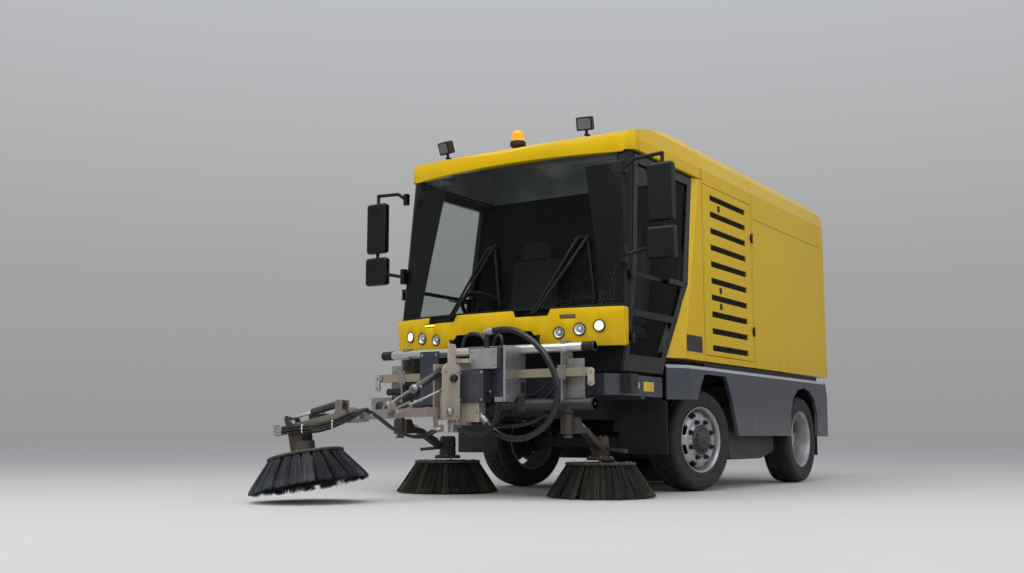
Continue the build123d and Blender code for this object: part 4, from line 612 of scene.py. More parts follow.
# ------------------------------------------------------------ piece builder
class Build:
    """Collects faces in vehicle millimetres, with their materials."""

    def __init__(self):
        self.v, self.f, self.m, self.s, self.mats = [], [], [], [], []

    def mi(self, name):
        if name not in self.mats:
            self.mats.append(name)
        return self.mats.index(name)

    def add(self, verts, faces, mat, smooth=False, tf=None):
        base = len(self.v)
        if tf is not None:
            verts = [tf @ Vector(p) for p in verts]
        self.v += [tuple(p) for p in verts]
        k = self.mi(mat)
        for f in faces:
            self.f.append([base + i for i in f])
            self.m.append(k)
            self.s.append(smooth)

    def box(self, x0, x1, y0, y1, z0, z1, mat, tf=None):
        x0, x1 = min(x0, x1), max(x0, x1)
        vs = [(x, y, z) for z in (z0, z1) for y in (y0, y1) for x in (x0, x1)]
        fs = [(0, 2, 3, 1), (4, 5, 7, 6), (0, 1, 5, 4), (2, 6, 7, 3), (0, 4, 6, 2),
              (1, 3, 7, 5)]
        self.add(vs, fs, mat, tf=tf)

    def prism(self, pts, thick, mat, tf):
        """Polygon (u, v) in the x/y plane of tf, thick along its z."""
        n = len(pts)
        area2 = sum(pts[i][0] * pts[(i + 1) % n][1] - pts[(i + 1) % n][0] * pts[i][1]
                    for i in range(n))
        if area2 < 0:
            pts = pts[::-1]
        vs = [(u, v, 0) for u, v in pts] + [(u, v, thick) for u, v in pts]
        fs = [tuple(reversed(range(n))), tuple(range(n, 2 * n))]
        fs += [(i, (i + 1) % n, n + (i + 1) % n, n + i) for i in range(n)]
        self.add(vs, fs, mat, tf=tf)

    def lathe(self, tf, prof, mat, n=48, closed=False, caps=True, smooth=True,
              skip=None):
        """prof: (r, z) about tf's z axis."""
        vs, fs = [], []
        for r, z in prof:
            for i in range(n):
                a = 2 * math.pi * i / n
                vs.append((r * math.cos(a), r * math.sin(a), z))
        rows = len(prof) if closed else len(prof) - 1
        for j in range(rows):
            a, b = j * n, ((j + 1) % len(prof)) * n
            for i in range(n):
                if skip and skip(j, i):
                    continue
                k = (i + 1) % n
                fs.append((a + i, a + k, b + k, b + i))
        if caps and not closed:
            fs.append(tuple(reversed(range(n))))
            fs.append(tuple(range((len(prof) - 1) * n, len(prof) * n)))
        self.add(vs, fs, mat, smooth, tf)

    def rod(self, p0, p1, r, mat, n=20, r1=None, smooth=True):
        p0, p1 = Vector(p0), Vector(p1)
        self.lathe(aim(p0, p1 - p0), [(r, 0), (r if r1 is None else r1, (p1 - p0).length)],
                   mat, n, smooth=smooth)

    def tube(self, pts, r, mat, n=12):
        """Round tube along points."""
        pts = [Vector(p) for p in pts]
        d = [(pts[min(i + 1, len(pts) - 1)] - pts[max(i - 1, 0)]).normalized()
             for i in range(len(pts))]
        up = Vector((0, 0, 1)) if abs(d[0].z) < 0.9 else Vector((1, 0, 0))
        side = up.cross(d[0]).normalized()
        vs, fs = [], []
        for i, p in enumerate(pts):
            side = (side - d[i] * side.dot(d[i])).normalized()
            oth = d[i].cross(side)
            for k in range(n):
                a = 2 * math.pi * k / n
                vs.append(p + (side * math.cos(a) + oth * math.sin(a)) * r)
        for i in range(len(pts) - 1):
            for k in range(n):
                kk = (k + 1) % n
                fs.append((i * n + k, i * n + kk, (i + 1) * n + kk, (i + 1) * n + k))
        fs.append(tuple(reversed(range(n))))
        fs.append(tuple(range((len(pts) - 1) * n, len(pts) * n)))
        self.add(vs, fs, mat, True)

    def bolt(self, p, d, r, mat="bolt_steel", washer=True, h=None):
        """Hexagon head with a washer and a chamfered top."""
        h = h or r * 0.75
        tf = aim(p, d)
        if washer:
            self.lathe(tf, [(r * 1.35, 0), (r * 1.35, h * 0.22)], mat, 20, smooth=False)
        self.lathe(tf, [(r, 0), (r, h * 0.85), (r * 0.82, h)], mat, 6, smooth=False)

    def make(self, name, body=None, slot=None, replaces=(), bevel=1.2, segs=2, angle=35):
        me = bpy.data.meshes.new(name)
        me.from_pydata([V(*p) for p in self.v], [], self.f)
        for n in self.mats:
            me.materials.append(MATS[n])
        me.polygons.foreach_set("material_index", self.m)
        me.polygons.foreach_set("use_smooth", self.s)
        me.update()
        o = bpy.data.objects.new(name, me)
        scene.collection.objects.link(o)
        if bevel:
            w = o.modifiers.new("weld", "WELD")
            w.merge_threshold = 0.00001
            b = o.modifiers.new("bevel", "BEVEL")
            b.width = bevel / 1000.0
            b.segments = segs
            b.limit_method = "ANGLE"
            b.angle_limit = math.radians(angle)
            b.harden_normals = True
            b.use_clamp_overlap = True
        if body:
            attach(o, body)
        if replaces:
            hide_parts(*replaces)
        return o


def aim(p, d):
    """Matrix whose z axis points along d, at p."""
    d = Vector(d).normalized()
    up = Vector((0, 0, 1)) if abs(d.z) < 0.9 else Vector((1, 0, 0))
    x = up.cross(d).normalized()
    y = d.cross(x)
    m = Matrix((x, y, d)).transposed().to_4x4()
    m.translation = Vector(p)
    return m


def frame_at(o, x, z):
    """Matrix at o with the given x and z axes."""
    z = Vector(z).normalized()
    x = (Vector(x) - z * Vector(x).dot(z)).normalized()
    m = Matrix((x, z.cross(x), z)).transposed().to_4x4()
    m.translation = Vector(o)
    return m


def spline(pts, per=8):
    """Points on a smooth line through pts."""
    p = [Vector(q) for q in pts]
    p = [p[0] * 2 - p[1]] + p + [p[-1] * 2 - p[-2]]
    out = []
    for i in range(1, len(p) - 2):
        for k in range(per):
            t = k / per
            a, b, c, d = p[i - 1], p[i], p[i + 1], p[i + 2]
            out.append(0.5 * ((2 * b) + (c - a) * t + (2 * a - 5 * b + 4 * c - d) * t * t +
                              (3 * b - a - 3 * c + d) * t ** 3))
    out.append(p[-2])
    return out


def S(s, x):
    return s * x

# ------------------------------------------------------------------- hoses
def hose(name, pts, r, body, mat="hose_black"):
    """Hose as a smooth NURBS line over its route."""
    cu = bpy.data.curves.new(name, "CURVE")
    cu.dimensions = "3D"
    sp = cu.splines.new("NURBS")
    sp.points.add(len(pts) - 1)
    for q, p in zip(sp.points, pts):
        q.co = (*V(*p), 1.0)
    sp.order_u = 3
    sp.use_endpoint_u = True
    sp.resolution_u = 12
    cu.bevel_depth = r / 1000.0
    cu.bevel_resolution = 4
    cu.use_fill_caps = True
    cu.materials.append(MATS[mat])
    o = bpy.data.objects.new(name, cu)
    scene.collection.objects.link(o)
    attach(o, body)
    return o


MAST = Vector((-92.0, -2012.0, 0.0))
ELBOW = Vector((-305.0, -2812.0, 588.0))
ELBOW_V = -math.sqrt((ELBOW.x - MAST.x) ** 2 + (ELBOW.y - MAST.y) ** 2 - 27.0 ** 2)
YAW = math.atan2(ELBOW.y - MAST.y, ELBOW.x - MAST.x) - math.atan2(ELBOW_V, -27.0)
MAST_TF = Matrix.Translation(MAST) @ Matrix.Rotation(YAW, 4, "Z")


def mf(x, y, z):
    """A point given in the mast's own frame."""
    return MAST_TF @ Vector((x, y, z))


LOOP = [(150, -1890, 1168), (300, -1905, 1187), (490, -1922, 1115),
        (650, -1932, 970), (745, -1936, 755), (692, -1934, 540),
        (505, -1926, 425), (345, -1916, 412), (212, -1908, 452),
        (113, -1903, 546)]
BOOM_ROUTE = [(44, ELBOW_V + 24, 604), (44, ELBOW_V + 90, 588), (40, ELBOW_V + 173, 541),
              (36, ELBOW_V + 270, 480), (30, -447, 441), (20, -332, 432),
              (10, -236, 448), (4, -155.5, 484)]
ARM_ROUTE = [(-268, -2868, 582), (-330, -2886, 556), (-400, -2897, 530),
             (-480, -2904, 509), (-560, -2911, 498), (-645, -2921, 499),
             (-745, -2933, 495), (-842.4, -2943, 484)]
CAR_ROUTE = [(-50.5, 483.5), (10, 462), (85, 447), (160, 456), (225, 500), (266, 575),
             (284, 666)]

ferrules = Build()
for a, b in ((0, 1), (-1, -2)):
    p, q = Vector(LOOP[a]), Vector(LOOP[b])
    d = (q - p).normalized()
    tf = aim(p - d * 34, d)
    ferrules.lathe(tf, [(19.5, 0), (25, 2), (25, 30), (23.6, 33), (25.5, 37), (25.5, 44),
                        (23.6, 48), (25.5, 52), (25.5, 59), (24, 64)], "bolt_steel", 28)
    ferrules.lathe(aim(p - d * 52, d), [(24, 0), (27, 2), (27, 16), (24, 18)], "bolt_steel",
                   6, smooth=False)
ferr = ferrules.make("loop_hose_ferrules", "root", "zinc_steel", bevel=0.8)
loop = hose("loop_hose_line", LOOP, 22, "root")
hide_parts("loop_hose")

fit = {"boom_body": Build(), "outer_arm_body": Build(), "root": Build()}


def small_ferrule(b, p, d, r=9):
    d = Vector(d).normalized()
    tf = aim(Vector(p) - d * 4, d)
    b.lathe(tf, [(r + 1, 0), (r + 3.2, 1), (r + 3.2, 20), (r + 2, 23), (r + 3, 25),
                 (r + 3, 34), (r + 1, 36)], "bolt_steel", 18)
    b.lathe(aim(Vector(p) - d * 5, d), [(r + 5, 0), (r + 5, 10)], "bolt_steel", 6,
            smooth=False)


def clip(b, p, d, r=9, mat="white_plastic"):
    """Cable tie round a hose."""
    b.lathe(aim(Vector(p) - Vector(d).normalized() * 4, d),
            [(r + 0.6, 0), (r + 2.2, 0.6), (r + 2.2, 7.4), (r + 0.6, 8)], mat, 16)


for k in range(3):
    pts = [mf(x + 22 * k, y, z - 5 * k * (i not in (0, 7)))
           for i, (x, y, z) in enumerate(BOOM_ROUTE)]
    h = hose(f"boom_hose_{k + 1}", pts, 9, "boom_body")
    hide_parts("boom_hoses")
    small_ferrule(fit["boom_body"], pts[-1], pts[-2] - pts[-1])
    bp = pts
    pts = [Vector((x, y - 3 * (k == 1), z - 19 * k)) for x, y, z in ARM_ROUTE]
    h = hose(f"arm_hose_{k + 1}", pts, 9, "outer_arm_body")
    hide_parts("arm_hoses")
    small_ferrule(fit["outer_arm_body"], pts[-1], pts[-2] - pts[-1])
    # slack turn across the elbow
    line = [bp[0] + (bp[0] - bp[1]).normalized() * t for t in (-14, 6)]
    line += [pts[0] + (pts[0] - pts[1]).normalized() * t for t in (6, -14)]
    b = Build()
    b.tube(spline(line, 14), 9.0, "hose_black", 14)
    o = b.make(f"elbow_hose_{k + 1}", None, "rubber", bevel=0)
    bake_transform(o)
    pts = [Vector((x, -1950 - 20 * k, z - 7 * k * (0 < i < 5)))
           for i, (x, z) in enumerate(CAR_ROUTE)]
    h = hose(f"carriage_hose_{k + 1}", pts, 9, "root")
    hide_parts("carriage_hoses")
    small_ferrule(fit["root"], pts[-1], pts[-2] - pts[-1])
    small_ferrule(fit["root"], pts[0], pts[1] - pts[0])
# ties round the three hoses
for u, bodyn in ((2, "outer_arm_body"), (5, "outer_arm_body")):
    for k in range(3):
        x, y, z = ARM_ROUTE[u]
        d = Vector(ARM_ROUTE[u + 1]) - Vector(ARM_ROUTE[u - 1])
        clip(fit[bodyn], (x, y + 0.4 - 3 * (k == 1), z - 19 * k - (1.2 if u == 2 else -1.2)), d)
fit["boom_body"].make("boom_hose_fittings", "boom_body", "zinc_steel", bevel=0.5)
fit["outer_arm_body"].make("arm_hose_fittings", "outer_arm_body", "zinc_steel", bevel=0.5)

# formed supply pipes behind the carriage and in the front recess
b = Build()
for pts, r in (([(-222, -1716, 1010), (-212, -1716, 1090), (-188, -1720, 1148),
                 (-128, -1728, 1176), (-45, -1732, 1160), (6, -1728, 1100),
                 (16, -1720, 1010)], 15),
               ([(-300, -1700, 990), (-240, -1706, 1040), (-152, -1712, 1072),
                 (-27, -1712, 1062), (90, -1706, 1030), (150, -1700, 980)], 13),
               ([(60, -1720, 1000), (66, -1728, 1090), (110, -1740, 1150),
                 (158, -1760, 1130), (170, -1764, 1040)], 12),
               ([(92, -1752, 900), (100, -1756, 830), (180, -1762, 715), (300, -1764, 652),
                 (400, -1764, 640), (520, -1760, 690), (610, -1752, 790),
                 (640, -1740, 880)], 14),
               ([(150, -1752, 880), (190, -1758, 780), (290, -1764, 712),
                 (420, -1760, 716), (520, -1750, 790), (560, -1740, 880)], 12),
               ([(-70, -1790, 600), (-20, -1790, 535), (110, -1786, 505),
                 (270, -1780, 505), (420, -1772, 530), (540, -1762, 590)], 14),
               ([(-240, -1780, 640), (-180, -1786, 560), (-60, -1790, 520),
                 (110, -1790, 545), (240, -1784, 600)], 12)):
    b.tube(spline([Vector(p) for p in pts], 10), r, "hose_black", 14)
    for e in (0, -1):
        q, w = Vector(pts[e]), Vector(pts[1 if e == 0 else -2])
        b.lathe(aim(q, w - q), [(r - 2, -10), (r + 5, -10), (r + 5, 12), (r + 3, 14),
                                (r + 3, 30), (r, 33)], "matte_black", 18)
# valve blocks
for x0, x1, y0, y1, z0, z1 in ((196, 282, -1806, -1756, 742, 812),
                               (300, 352, -1800, -1756, 730, 806),
                               (-60, 40, -1760, -1700, 930, 1006)):
    b.box(x0, x1, y0, y1, z0, z1, "box_black")
    for k in range(3):
        xx = x0 + (k + 0.5) * (x1 - x0) / 3
        b.bolt((xx, y0, z1 - 16), (0, -1, 0), 7, "bolt_steel", False, 9)
        b.rod((xx, y0 - 1, z0 + 18), (xx, y0 - 12, z0 + 18), 6, "zinc", 14)
b.make("supply_pipes", "root", "rubber", bevel=1.0)

# ------------------------------------------------------------ wheels, tyres
STEER = math.radians(-12.16)


def wheel_tf(s, front):
    if front:
        d = Vector((s * math.cos(STEER), s * math.sin(STEER), 0))
        o = Vector((s * 744.0, 0, 405.0)) + d * 65.0
    else:
        d = Vector((s, 0, 0))
        o = Vector((s * 896.5, 2080.0, 405.0))
    return frame_at(o, (0, 0, 1), d)


def tyre(name, node, s, front):
    b = Build()
    tf = wheel_tf(s, front)
    prof = [(249, -99), (256, -110), (268, -117), (280, -121), (284, -124.5),
            (289, -125), (292, -122.5), (300, -127), (318, -130), (340, -131),
            (358, -129), (362, -130.5), (367, -130), (370, -126.5), (380, -121),
            (388, -113), (393, -104), (394, -88), (394, 88), (393, 104), (388, 113),
            (380, 121), (370, 126.5), (367, 130), (362, 130.5), (358, 129),
            (340, 131), (318, 130), (300, 127), (292, 122.5), (289, 125),
            (284, 124.5), (280, 121), (268, 117), (256, 110), (249, 99)]
    b.lathe(tf, prof, "tyre_rubber", 120, closed=True)
    # tread: two solid shoulders cut by slots, three rows of angled blocks
    pitches = 58
    rows = [(-104, -64, 400.5, 0.00, 0.80, 0.10), (-56, -22, 405, 0.30, 0.84, 0.22),
            (-15, 15, 405, 0.62, 0.86, -0.22), (22, 56, 405, 0.15, 0.84, 0.22),
            (64, 104, 400.5, 0.50, 0.80, -0.10)]
    for u0, u1, top, ph, fill, skew in rows:
        for i in range(pitches):
            step = 2 * math.pi / pitches
            a0 = (i + ph) * step
            vs = []
            for r, inset in ((391.0, 0.0), (top, 2.0)):
                for u, e in ((u0, 0.0), (u1, 1.0)):
                    sk = skew * (e - 0.5) * step
                    rr = r - (5.0 if (abs(u) > 100 and r > 395) else 0.0)
                    for w in (0.0, fill * step):
                        aa = a0 + sk + w + (inset / 405.0 if w == 0 else -inset / 405.0)
                        uu = u + (inset if e == 0 else -inset)
                        vs.append((rr * math.cos(aa), rr * math.sin(aa), uu))
            b.add(vs, [(0, 1, 3, 2), (4, 6, 7, 5), (0, 4, 5, 1), (2, 3, 7, 6),
                       (0, 2, 6, 4), (1, 5, 7, 3)], "tyre_rubber", False, tf)
    # short radial ribs below the shoulder, both sides
    for i in range(88):
        a = 2 * math.pi * i / 88
        for q in (-1, 1):
            m = tf @ Matrix.Rotation(a, 4, "Z")
            b.box(372, 386, -3.2, 3.2, min(q * 114, q * 124), max(q * 114, q * 124),
                  "tyre_rubber", m)
    return b.make(name, "wheel_" + node, "tyre", ("tyre_" + node,), bevel=0)


def disc_with_holes(b, tf, outer, inner, mat, n, hole):
    """Turned disc of two skins with windows through both."""
    rows = len(outer)
    vs = []
    for prof in (outer, inner):
        for r, z in prof:
            for i in range(n):
                a = 2 * math.pi * i / n
                vs.append((r * math.cos(a), r * math.sin(a), z))
    off = rows * n
    fs = []
    for j in range(rows - 1):
        for i in range(n):
            k = (i + 1) % n
            q = (j * n + i, j * n + k, (j + 1) * n + k, (j + 1) * n + i)
            if not hole(j, i):
                fs.append(q)
                fs.append(tuple(off + t for t in reversed(q)))
                continue
            for jj, ii, e in ((j - 1, i, (q[0], q[1])), (j + 1, i, (q[2], q[3])),
                              (j, i - 1, (q[3], q[0])), (j, i + 1, (q[1], q[2]))):
                if not (0 <= jj < rows - 1 and hole(jj, ii % n)):
                    fs.append((e[0], e[1], off + e[1], off + e[0]))
    for j in (0, rows - 1):
        for i in range(n):
            k = (i + 1) % n
            fs.append((j * n + i, off + j * n + i, off + j * n + k, j * n + k))
    b.add(vs, fs, mat, True, tf)


def rim(name, node, s, front):
    b = Build()
    tf = wheel_tf(s, front)
    b.lathe(tf, [(260, 118), (261, 115), (258, 112), (248.6, 100), (248.6, -100),
                 (258, -112), (261, -115), (260, -118), (252, -119), (246, -110),
                 (238, -96), (236, -90), (236, -20), (228, 0), (228, 40), (238, 70),
                 (238, 92), (244, 104), (252, 116), (256, 119)], "rim_paint", 96,
            closed=True)
    n = 96
    if front:
        outer = [(236, 46), (228, 62), (218, 82), (206, 96), (192, 105), (176, 110),
                 (160, 112), (124, 112)]
        inner = [(r - (10 if i < 5 else 0), z - 12) for i, (r, z) in enumerate(outer)]
        disc_with_holes(b, tf, outer, inner, "rim_paint", n,
                        lambda j, i: j in (1, 2, 3) and (i % 12) in (3, 4, 5, 6, 7, 8))
        b.lathe(tf, [(126, 100), (126, 112), (122, 116), (116, 116)], "rim_paint", 72)
        # hub with its cap and flange bolts
        b.lathe(tf, [(118, 100), (118, 119), (112, 124), (95, 126), (92, 130),
                     (74, 149), (66, 153), (50, 155), (46, 159), (12, 161), (0.5, 161)],
                "hub_grey", 64)
        for i in range(12):
            a = math.radians(i * 30)
            b.bolt(tf @ Vector((84 * math.cos(a), 84 * math.sin(a), 136)),
                   tf.to_3x3() @ Vector((0.4 * math.cos(a), 0.4 * math.sin(a), 1)), 9,
                   "hub_grey", False, 11)
        for i in range(24):
            m = tf @ Matrix.Rotation(math.radians(15 * i), 4, "Z")
            b.box(104, 116, -4, 4, 100, 121, "hub_grey", m)
        for i in range(8):
            a = math.radians(i * 45 + 22.5)
            m = tf @ Matrix.Translation((148 * math.cos(a), 148 * math.sin(a), 108))
            b.lathe(m, [(21, 0), (21, 6), (18, 9), (17, 12), (15.5, 32), (12, 36),
                        (0.5, 37)], "matte_black", 24)
    else:
        outer = [(236, -20), (226, -32), (214, -36), (204, -28), (190, -18),
                 (172, -14), (150, -13), (110, -13)]
        inner = [(r - (8 if i < 3 else 0), z - 12) for i, (r, z) in enumerate(outer)]
        disc_with_holes(b, tf, outer, inner, "rim_paint", n,
                        lambda j, i: j in (3, 4) and (i % 12) in (3, 4, 5, 6, 7))
        b.lathe(tf, [(112, -60), (112, -4), (106, 2), (88, 10), (84, 16), (66, 30),
                     (58, 34), (20, 38), (0.5, 38)], "rim_paint", 64)
        for i in range(8):
            a = math.radians(i * 45 + 22.5)
            c = tf @ Vector((140 * math.cos(a), 140 * math.sin(a), -13))
            b.bolt(c, tf.to_3x3() @ Vector((0, 0, 1)), 15, "bolt_steel", True, 16)
            m = tf @ Matrix.Translation((140 * math.cos(a), 140 * math.sin(a), 2))
            b.lathe(m, [(8, 0), (8, 16), (5, 19)], "bolt_steel", 16)
    # valve
    a = math.radians(60)
    z0 = 60 if front else -20
    b.tube([tf @ Vector((226 * math.cos(a), 226 * math.sin(a), z0)),
            tf @ Vector((215 * math.cos(a), 215 * math.sin(a), z0 + 22)),
            tf @ Vector((208 * math.cos(a), 208 * math.sin(a), z0 + 46))], 4.5,
           "rubber", 10)
    return b.make(name, "wheel_" + node, "rim_silver", ("rim_" + node,), bevel=0)


for node, s, front in (("front_left", 1, True), ("front_right", -1, True),
                       ("rear_left", 1, False), ("rear_right", -1, False)):
    tyre("tyre_" + node + "_treaded", node, s, front)
    rim("rim_" + node + "_detailed", node, s, front)


# ------------------------------------------------------------------- brooms
def broom(name, node, body, tf, top_r, bot_r, h, mat, seed, clumps, per, ragged,
          spread):
    """Bristle bundles fanned out under a round carrier plate."""
    rnd = random.Random(seed)
    b = Build()
    b.lathe(tf, [(0.5, 14), (60, 14), (60, 12), (top_r - 6, 12), (top_r, 8),
                 (top_r, -4), (top_r - 8, -6), (150, -6), (0.5, -6)], "chassis_black", 72,
            caps=False)
    for i in range(12):
        a = 2 * math.pi * i / 12
        b.bolt(tf @ Vector(((top_r - 40) * math.cos(a), (top_r - 40) * math.sin(a), 12)),
               tf.to_3x3() @ Vector((0, 0, 1)), 8)
    # dense inner cone that stops the light; its darkest bristle colour is painted shade inside the
    # broom
    b.lathe(tf, [(150, -6), (top_r - 26, -6), (top_r - 14, -30), (bot_r - 52, -h + 30),
                 (bot_r - 120, -h + 34), (150, -30)], mat[2], 72, caps=False, closed=True)
    sets = {m: ([], []) for m in mat}

    def strand(a0, a1, r0, r1, z1, bow, w, m):
        vs, fs = sets[m]
        segs = 4
        base = len(vs)
        for j in range(segs + 1):
            t = j / segs
            a = a0 + (a1 - a0) * t
            r = r0 + (r1 - r0) * t + bow * math.sin(math.pi * t)
            z = -2 + (z1 + 2) * t
            ww = w * (1.0 - 0.45 * t)
            ca, sa = math.cos(a), math.sin(a)
            for k in range(3):
                q = 2 * math.pi * k / 3 + a0 * 7
                dr, dt = ww * math.cos(q), ww * math.sin(q)
                vs.append((r * ca + dr * ca - dt * sa, r * sa + dr * sa + dt * ca, z))
        for j in range(segs):
            for k in range(3):
                kk = (k + 1) % 3
                p = base + j * 3
                fs.append((p + k, p + kk, p + 3 + kk, p + 3 + k))

    for ring, (rt, rb, num, drop) in enumerate(((top_r - 16, bot_r - 8, clumps, 0.0),
                                                (top_r - 62, bot_r - 70, clumps - 6, 6.0))):
        step = 2 * math.pi / num
        for c in range(num):
            ca = c * step + rnd.uniform(-0.10, 0.10) * step
            lean = rnd.uniform(-0.30, 0.30) * step
            cut = rnd.uniform(0, ragged)
            out = rnd.uniform(-16, 4)
            # the inner ring always takes the darkest bristle colour: painted shade under the outer
            # strands
            tint = rnd.choice(mat) if ring == 0 else mat[2]
            for _ in range(per):
                q = rnd.uniform(-0.5, 0.5)
                rr = rnd.uniform(-11, 11)
                a0 = ca + q * step * 0.66
                a1 = ca + lean + q * step * spread + rnd.gauss(0, 0.007)
                z1 = -h + drop + cut * abs(rnd.gauss(0, 1)) * 0.5 + rnd.uniform(0, ragged * 0.4)
                z1 = min(z1, -h * 0.72)
                r1 = min(rb + out + rr * 0.9 + rnd.gauss(0, 4), bot_r)
                m = tint if rnd.random() < 0.72 else rnd.choice(mat)
                strand(a0, a1, rt + rr * 0.6, r1, max(z1, -h), rnd.uniform(-5, 3),
                       rnd.uniform(1.1, 2.0), m)
    for m, (vs, fs) in sets.items():
        b.add(vs, fs, m, True, tf)
    return b.make(name, body, "bristle", (node,), bevel=0)


FN = Vector((-0.194, -0.02, 1.0)).normalized()
broom("front_broom_bristles", "front_broom", "front_broom_body",
      frame_at((-680, -2850, 308), (1, 0, 0), FN), 255, 399, 214,
      ("bristle_blue", "bristle_blue_light", "bristle_blue_dark"), 5, 24, 126, 30.0, 0.86)
for s, nm in ((1, "left"), (-1, "right")):
    broom(nm + "_broom_bristles", nm + "_side_broom", nm + "_broom_body",
          Matrix.Translation((s * 682, -1267, 236)), 255, 396, 229,
          ("bristle_brown", "bristle_brown_light", "bristle_brown_dark"),
          11 + s, 44, 70, 8.0, 1.0)

# -------------------------------------------------------------------- lamps
def face_y(x):
    return -1655 + (3576 - math.sqrt(3576.0 ** 2 - x * x))


b = Build()
for s in (1, -1):
    for cx, cz, r, kind in ((839, 1200, 44, "lit"), (698, 1180, 47, "main"),
                            (545, 1160, 44, "fog")):
        x = s * cx
        y0 = face_y(cx) - 1
        n = Vector((s * cx / 3576.0, -1, 0)).normalized()
        tf = frame_at((x, y0 + 4, cz), (1, 0, 0), n)
        # rim and housing
        b.lathe(tf, [(r - 7, -34), (r, -30), (r, 2), (r - 1.5, 5), (r - 5, 6),
                     (r - 6.5, 3), (r - 7, -8)], "matte_black", 56, caps=False)
        b.lathe(tf, [(r - 6.8, -31), (r - 6.8, -29), (0.5, -32)], "matte_black", 56, caps=False)
        if kind == "lit":
            b.lathe(tf, [(r - 7, -2), (r - 7, 3), (r - 10, 4.5), (r - 12, 3)],
                    "reflector", 56, caps=False)
            b.lathe(tf, [(r - 11.5, 1.0), (24, 4.2), (12, 5.2), (0.5, 5.6)], "lamp_lit", 56,
                    caps=False)
        else:
            b.lathe(tf, [(r - 7, 0), (r - 8.5, 2.5), (r - 11, 0)], "reflector", 56,
                    caps=False)
            b.lathe(tf, [(r - 10, -1), (r - 14, -7), (r - 22, -11), (19, -12)], "reflector",
                    56, caps=False)
            # projector lens in its ring
            b.lathe(tf, [(19, -14), (19, -6), (16.5, -5), (15.5, -8)], "matte_black", 40,
                    caps=False)
            b.lathe(tf, [(16, -9), (14, -5), (9, -2), (4, -0.6), (0.5, -0.4)], "reflector",
                    40, caps=False)
            b.lathe(tf, [(r - 8, -1.2), (26, 3), (0.5, 4.6)], "clear_glass", 56, caps=False)
    # indicator
    xi = s * 612.0
    n = Vector((s * 612 / 3576.0, -1, 0)).normalized()
    tf = frame_at((xi, face_y(612) + 4, 1272), (1, 0, 0), n)
    w, h = 58.0, 11.0
    for inset, z0, z1, mat in ((0, -20, 2.0, "matte_black"),
                               (3.5, 1.0, 5.5, "amber_lit" if s < 0 else "grey_lens")):
        pts = []
        for cxx, cyy, a0 in ((w - 6, h - 6, 0), (-w + 6, h - 6, 90), (-w + 6, -h + 6, 180),
                             (w - 6, -h + 6, 270)):
            for q in range(5):
                a = math.radians(a0 + 22.5 * q)
                rr = 6 - inset
                pts.append((cxx + rr * math.cos(a), cyy + rr * math.sin(a)))
        b.prism(pts, z1 - z0, mat, tf @ Matrix.Translation((0, 0, z0)))
# beacon and roof lamps
LAMP_Y, LAMP_Z = -1290.0, 2612.0
tf = Matrix.Translation((0, -1300, 0))
b.lathe(tf, [(46, 2655), (62, 2668), (62, 2694), (57, 2700), (50, 2702)], "matte_black", 48)
b.lathe(tf, [(47, 2701), (49, 2706), (46, 2714), (48, 2722), (46, 2730), (48, 2738),
             (46, 2746), (48, 2754), (45, 2764), (40, 2776), (28, 2786), (12, 2789.5),
             (0.5, 2790)], "beacon_amber", 64)
for s in (1, -1):
    m = (Matrix.Translation((s * 640, -1372, 2728)) @
         Matrix.Rotation(math.radians(s * 14), 4, "Z") @
         Matrix.Rotation(math.radians(18), 4, "X"))
    # body, front ring, lens and mounting stalk
    pts = [(-60, -50), (60, -50), (60, 50), (-60, 50)]
    rr = []
    for cxx, cyy, a0 in ((48, 38, 0), (-48, 38, 90), (-48, -38, 180), (48, -38, 270)):
        for q in range(5):
            a = math.radians(a0 + 22.5 * q)
            rr.append((cxx + 12 * math.cos(a), cyy + 12 * math.sin(a)))
    face = m @ Matrix.Rotation(math.radians(90), 4, "X")
    b.prism(rr, 62, "matte_black", face @ Matrix.Translation((0, 0, -30)))
    b.prism([(u * 0.93, v * 0.91) for u, v in rr], 3.5, "black_plastic",
            face @ Matrix.Translation((0, 0, 31)))
    b.prism([(u * 0.82, v * 0.78) for u, v in rr], 2.0, "grey_lens",
            face @ Matrix.Translation((0, 0, 33)))
    for q in range(5):
        b.box(-44 + q * 22 - 2, -44 + q * 22 + 2, 28, 34, -40, 40, "matte_black", m)
    b.rod((s * 640, -1352, 2690), (s * 640, -1350, 2652), 11, "matte_black", 20)
    b.prism([(-1364, 2640), (-1336, 2640), (LAMP_Y - 14, LAMP_Z - 2), (LAMP_Y + 22, LAMP_Z + 8),
             (LAMP_Y + 18, LAMP_Z + 16), (-1322, 2656), (-1364, 2656)], 26, "matte_black",
            Matrix(((0, 0, 1, s * 640 - 13), (1, 0, 0, 0), (0, 1, 0, 0), (0, 0, 0, 1))))
b.make("lamp_set", "root", "lamp_glass", ("lamps",), bevel=0.8)

# ---------------------------------------------------------------- louvres
for s, side in ((1, "left"), (-1, "right")):
    b = Build()
    for i in range(10):
        zc = 2370 - 137 * i
        # black sheet behind the blades: painted shade for the dark space behind the slots
        b.box(s * 1010.6, s * 1013.5, -11, 751, zc - 23.4, zc + 23.4, "louvre_black")
        for q in range(3):
            z0 = zc - 15 + q * 15.5
            # sloping blade
            m = Matrix.Translation((s * 1020, 370, z0)) @ Matrix.Rotation(
                math.radians(-s * 34), 4, "Y")
            b.box(-7.5, 7.5, -380, 380, -1.1, 1.1, "louvre_black", m)
        for yv in (120, 370, 620):
            b.box(s * 1013, s * 1028, yv - 2, yv + 2, zc - 22, zc + 22, "louvre_black")
    b.make(f"engine_door_{side}_grilles", f"engine_door_{side}_body", "black_plastic",
           bevel=0)

# ------------------------------------------------------- seams
b = Build()
for s in (1, -1):
    X = s * 1033.0
    # rubber strips in the joints of the cab and the housing
    b.box(s * 1016, s * 1031, -176, -168, 1080, 2560, "matte_black")
b.make("joint_strips", "root", "rubber", bevel=0)

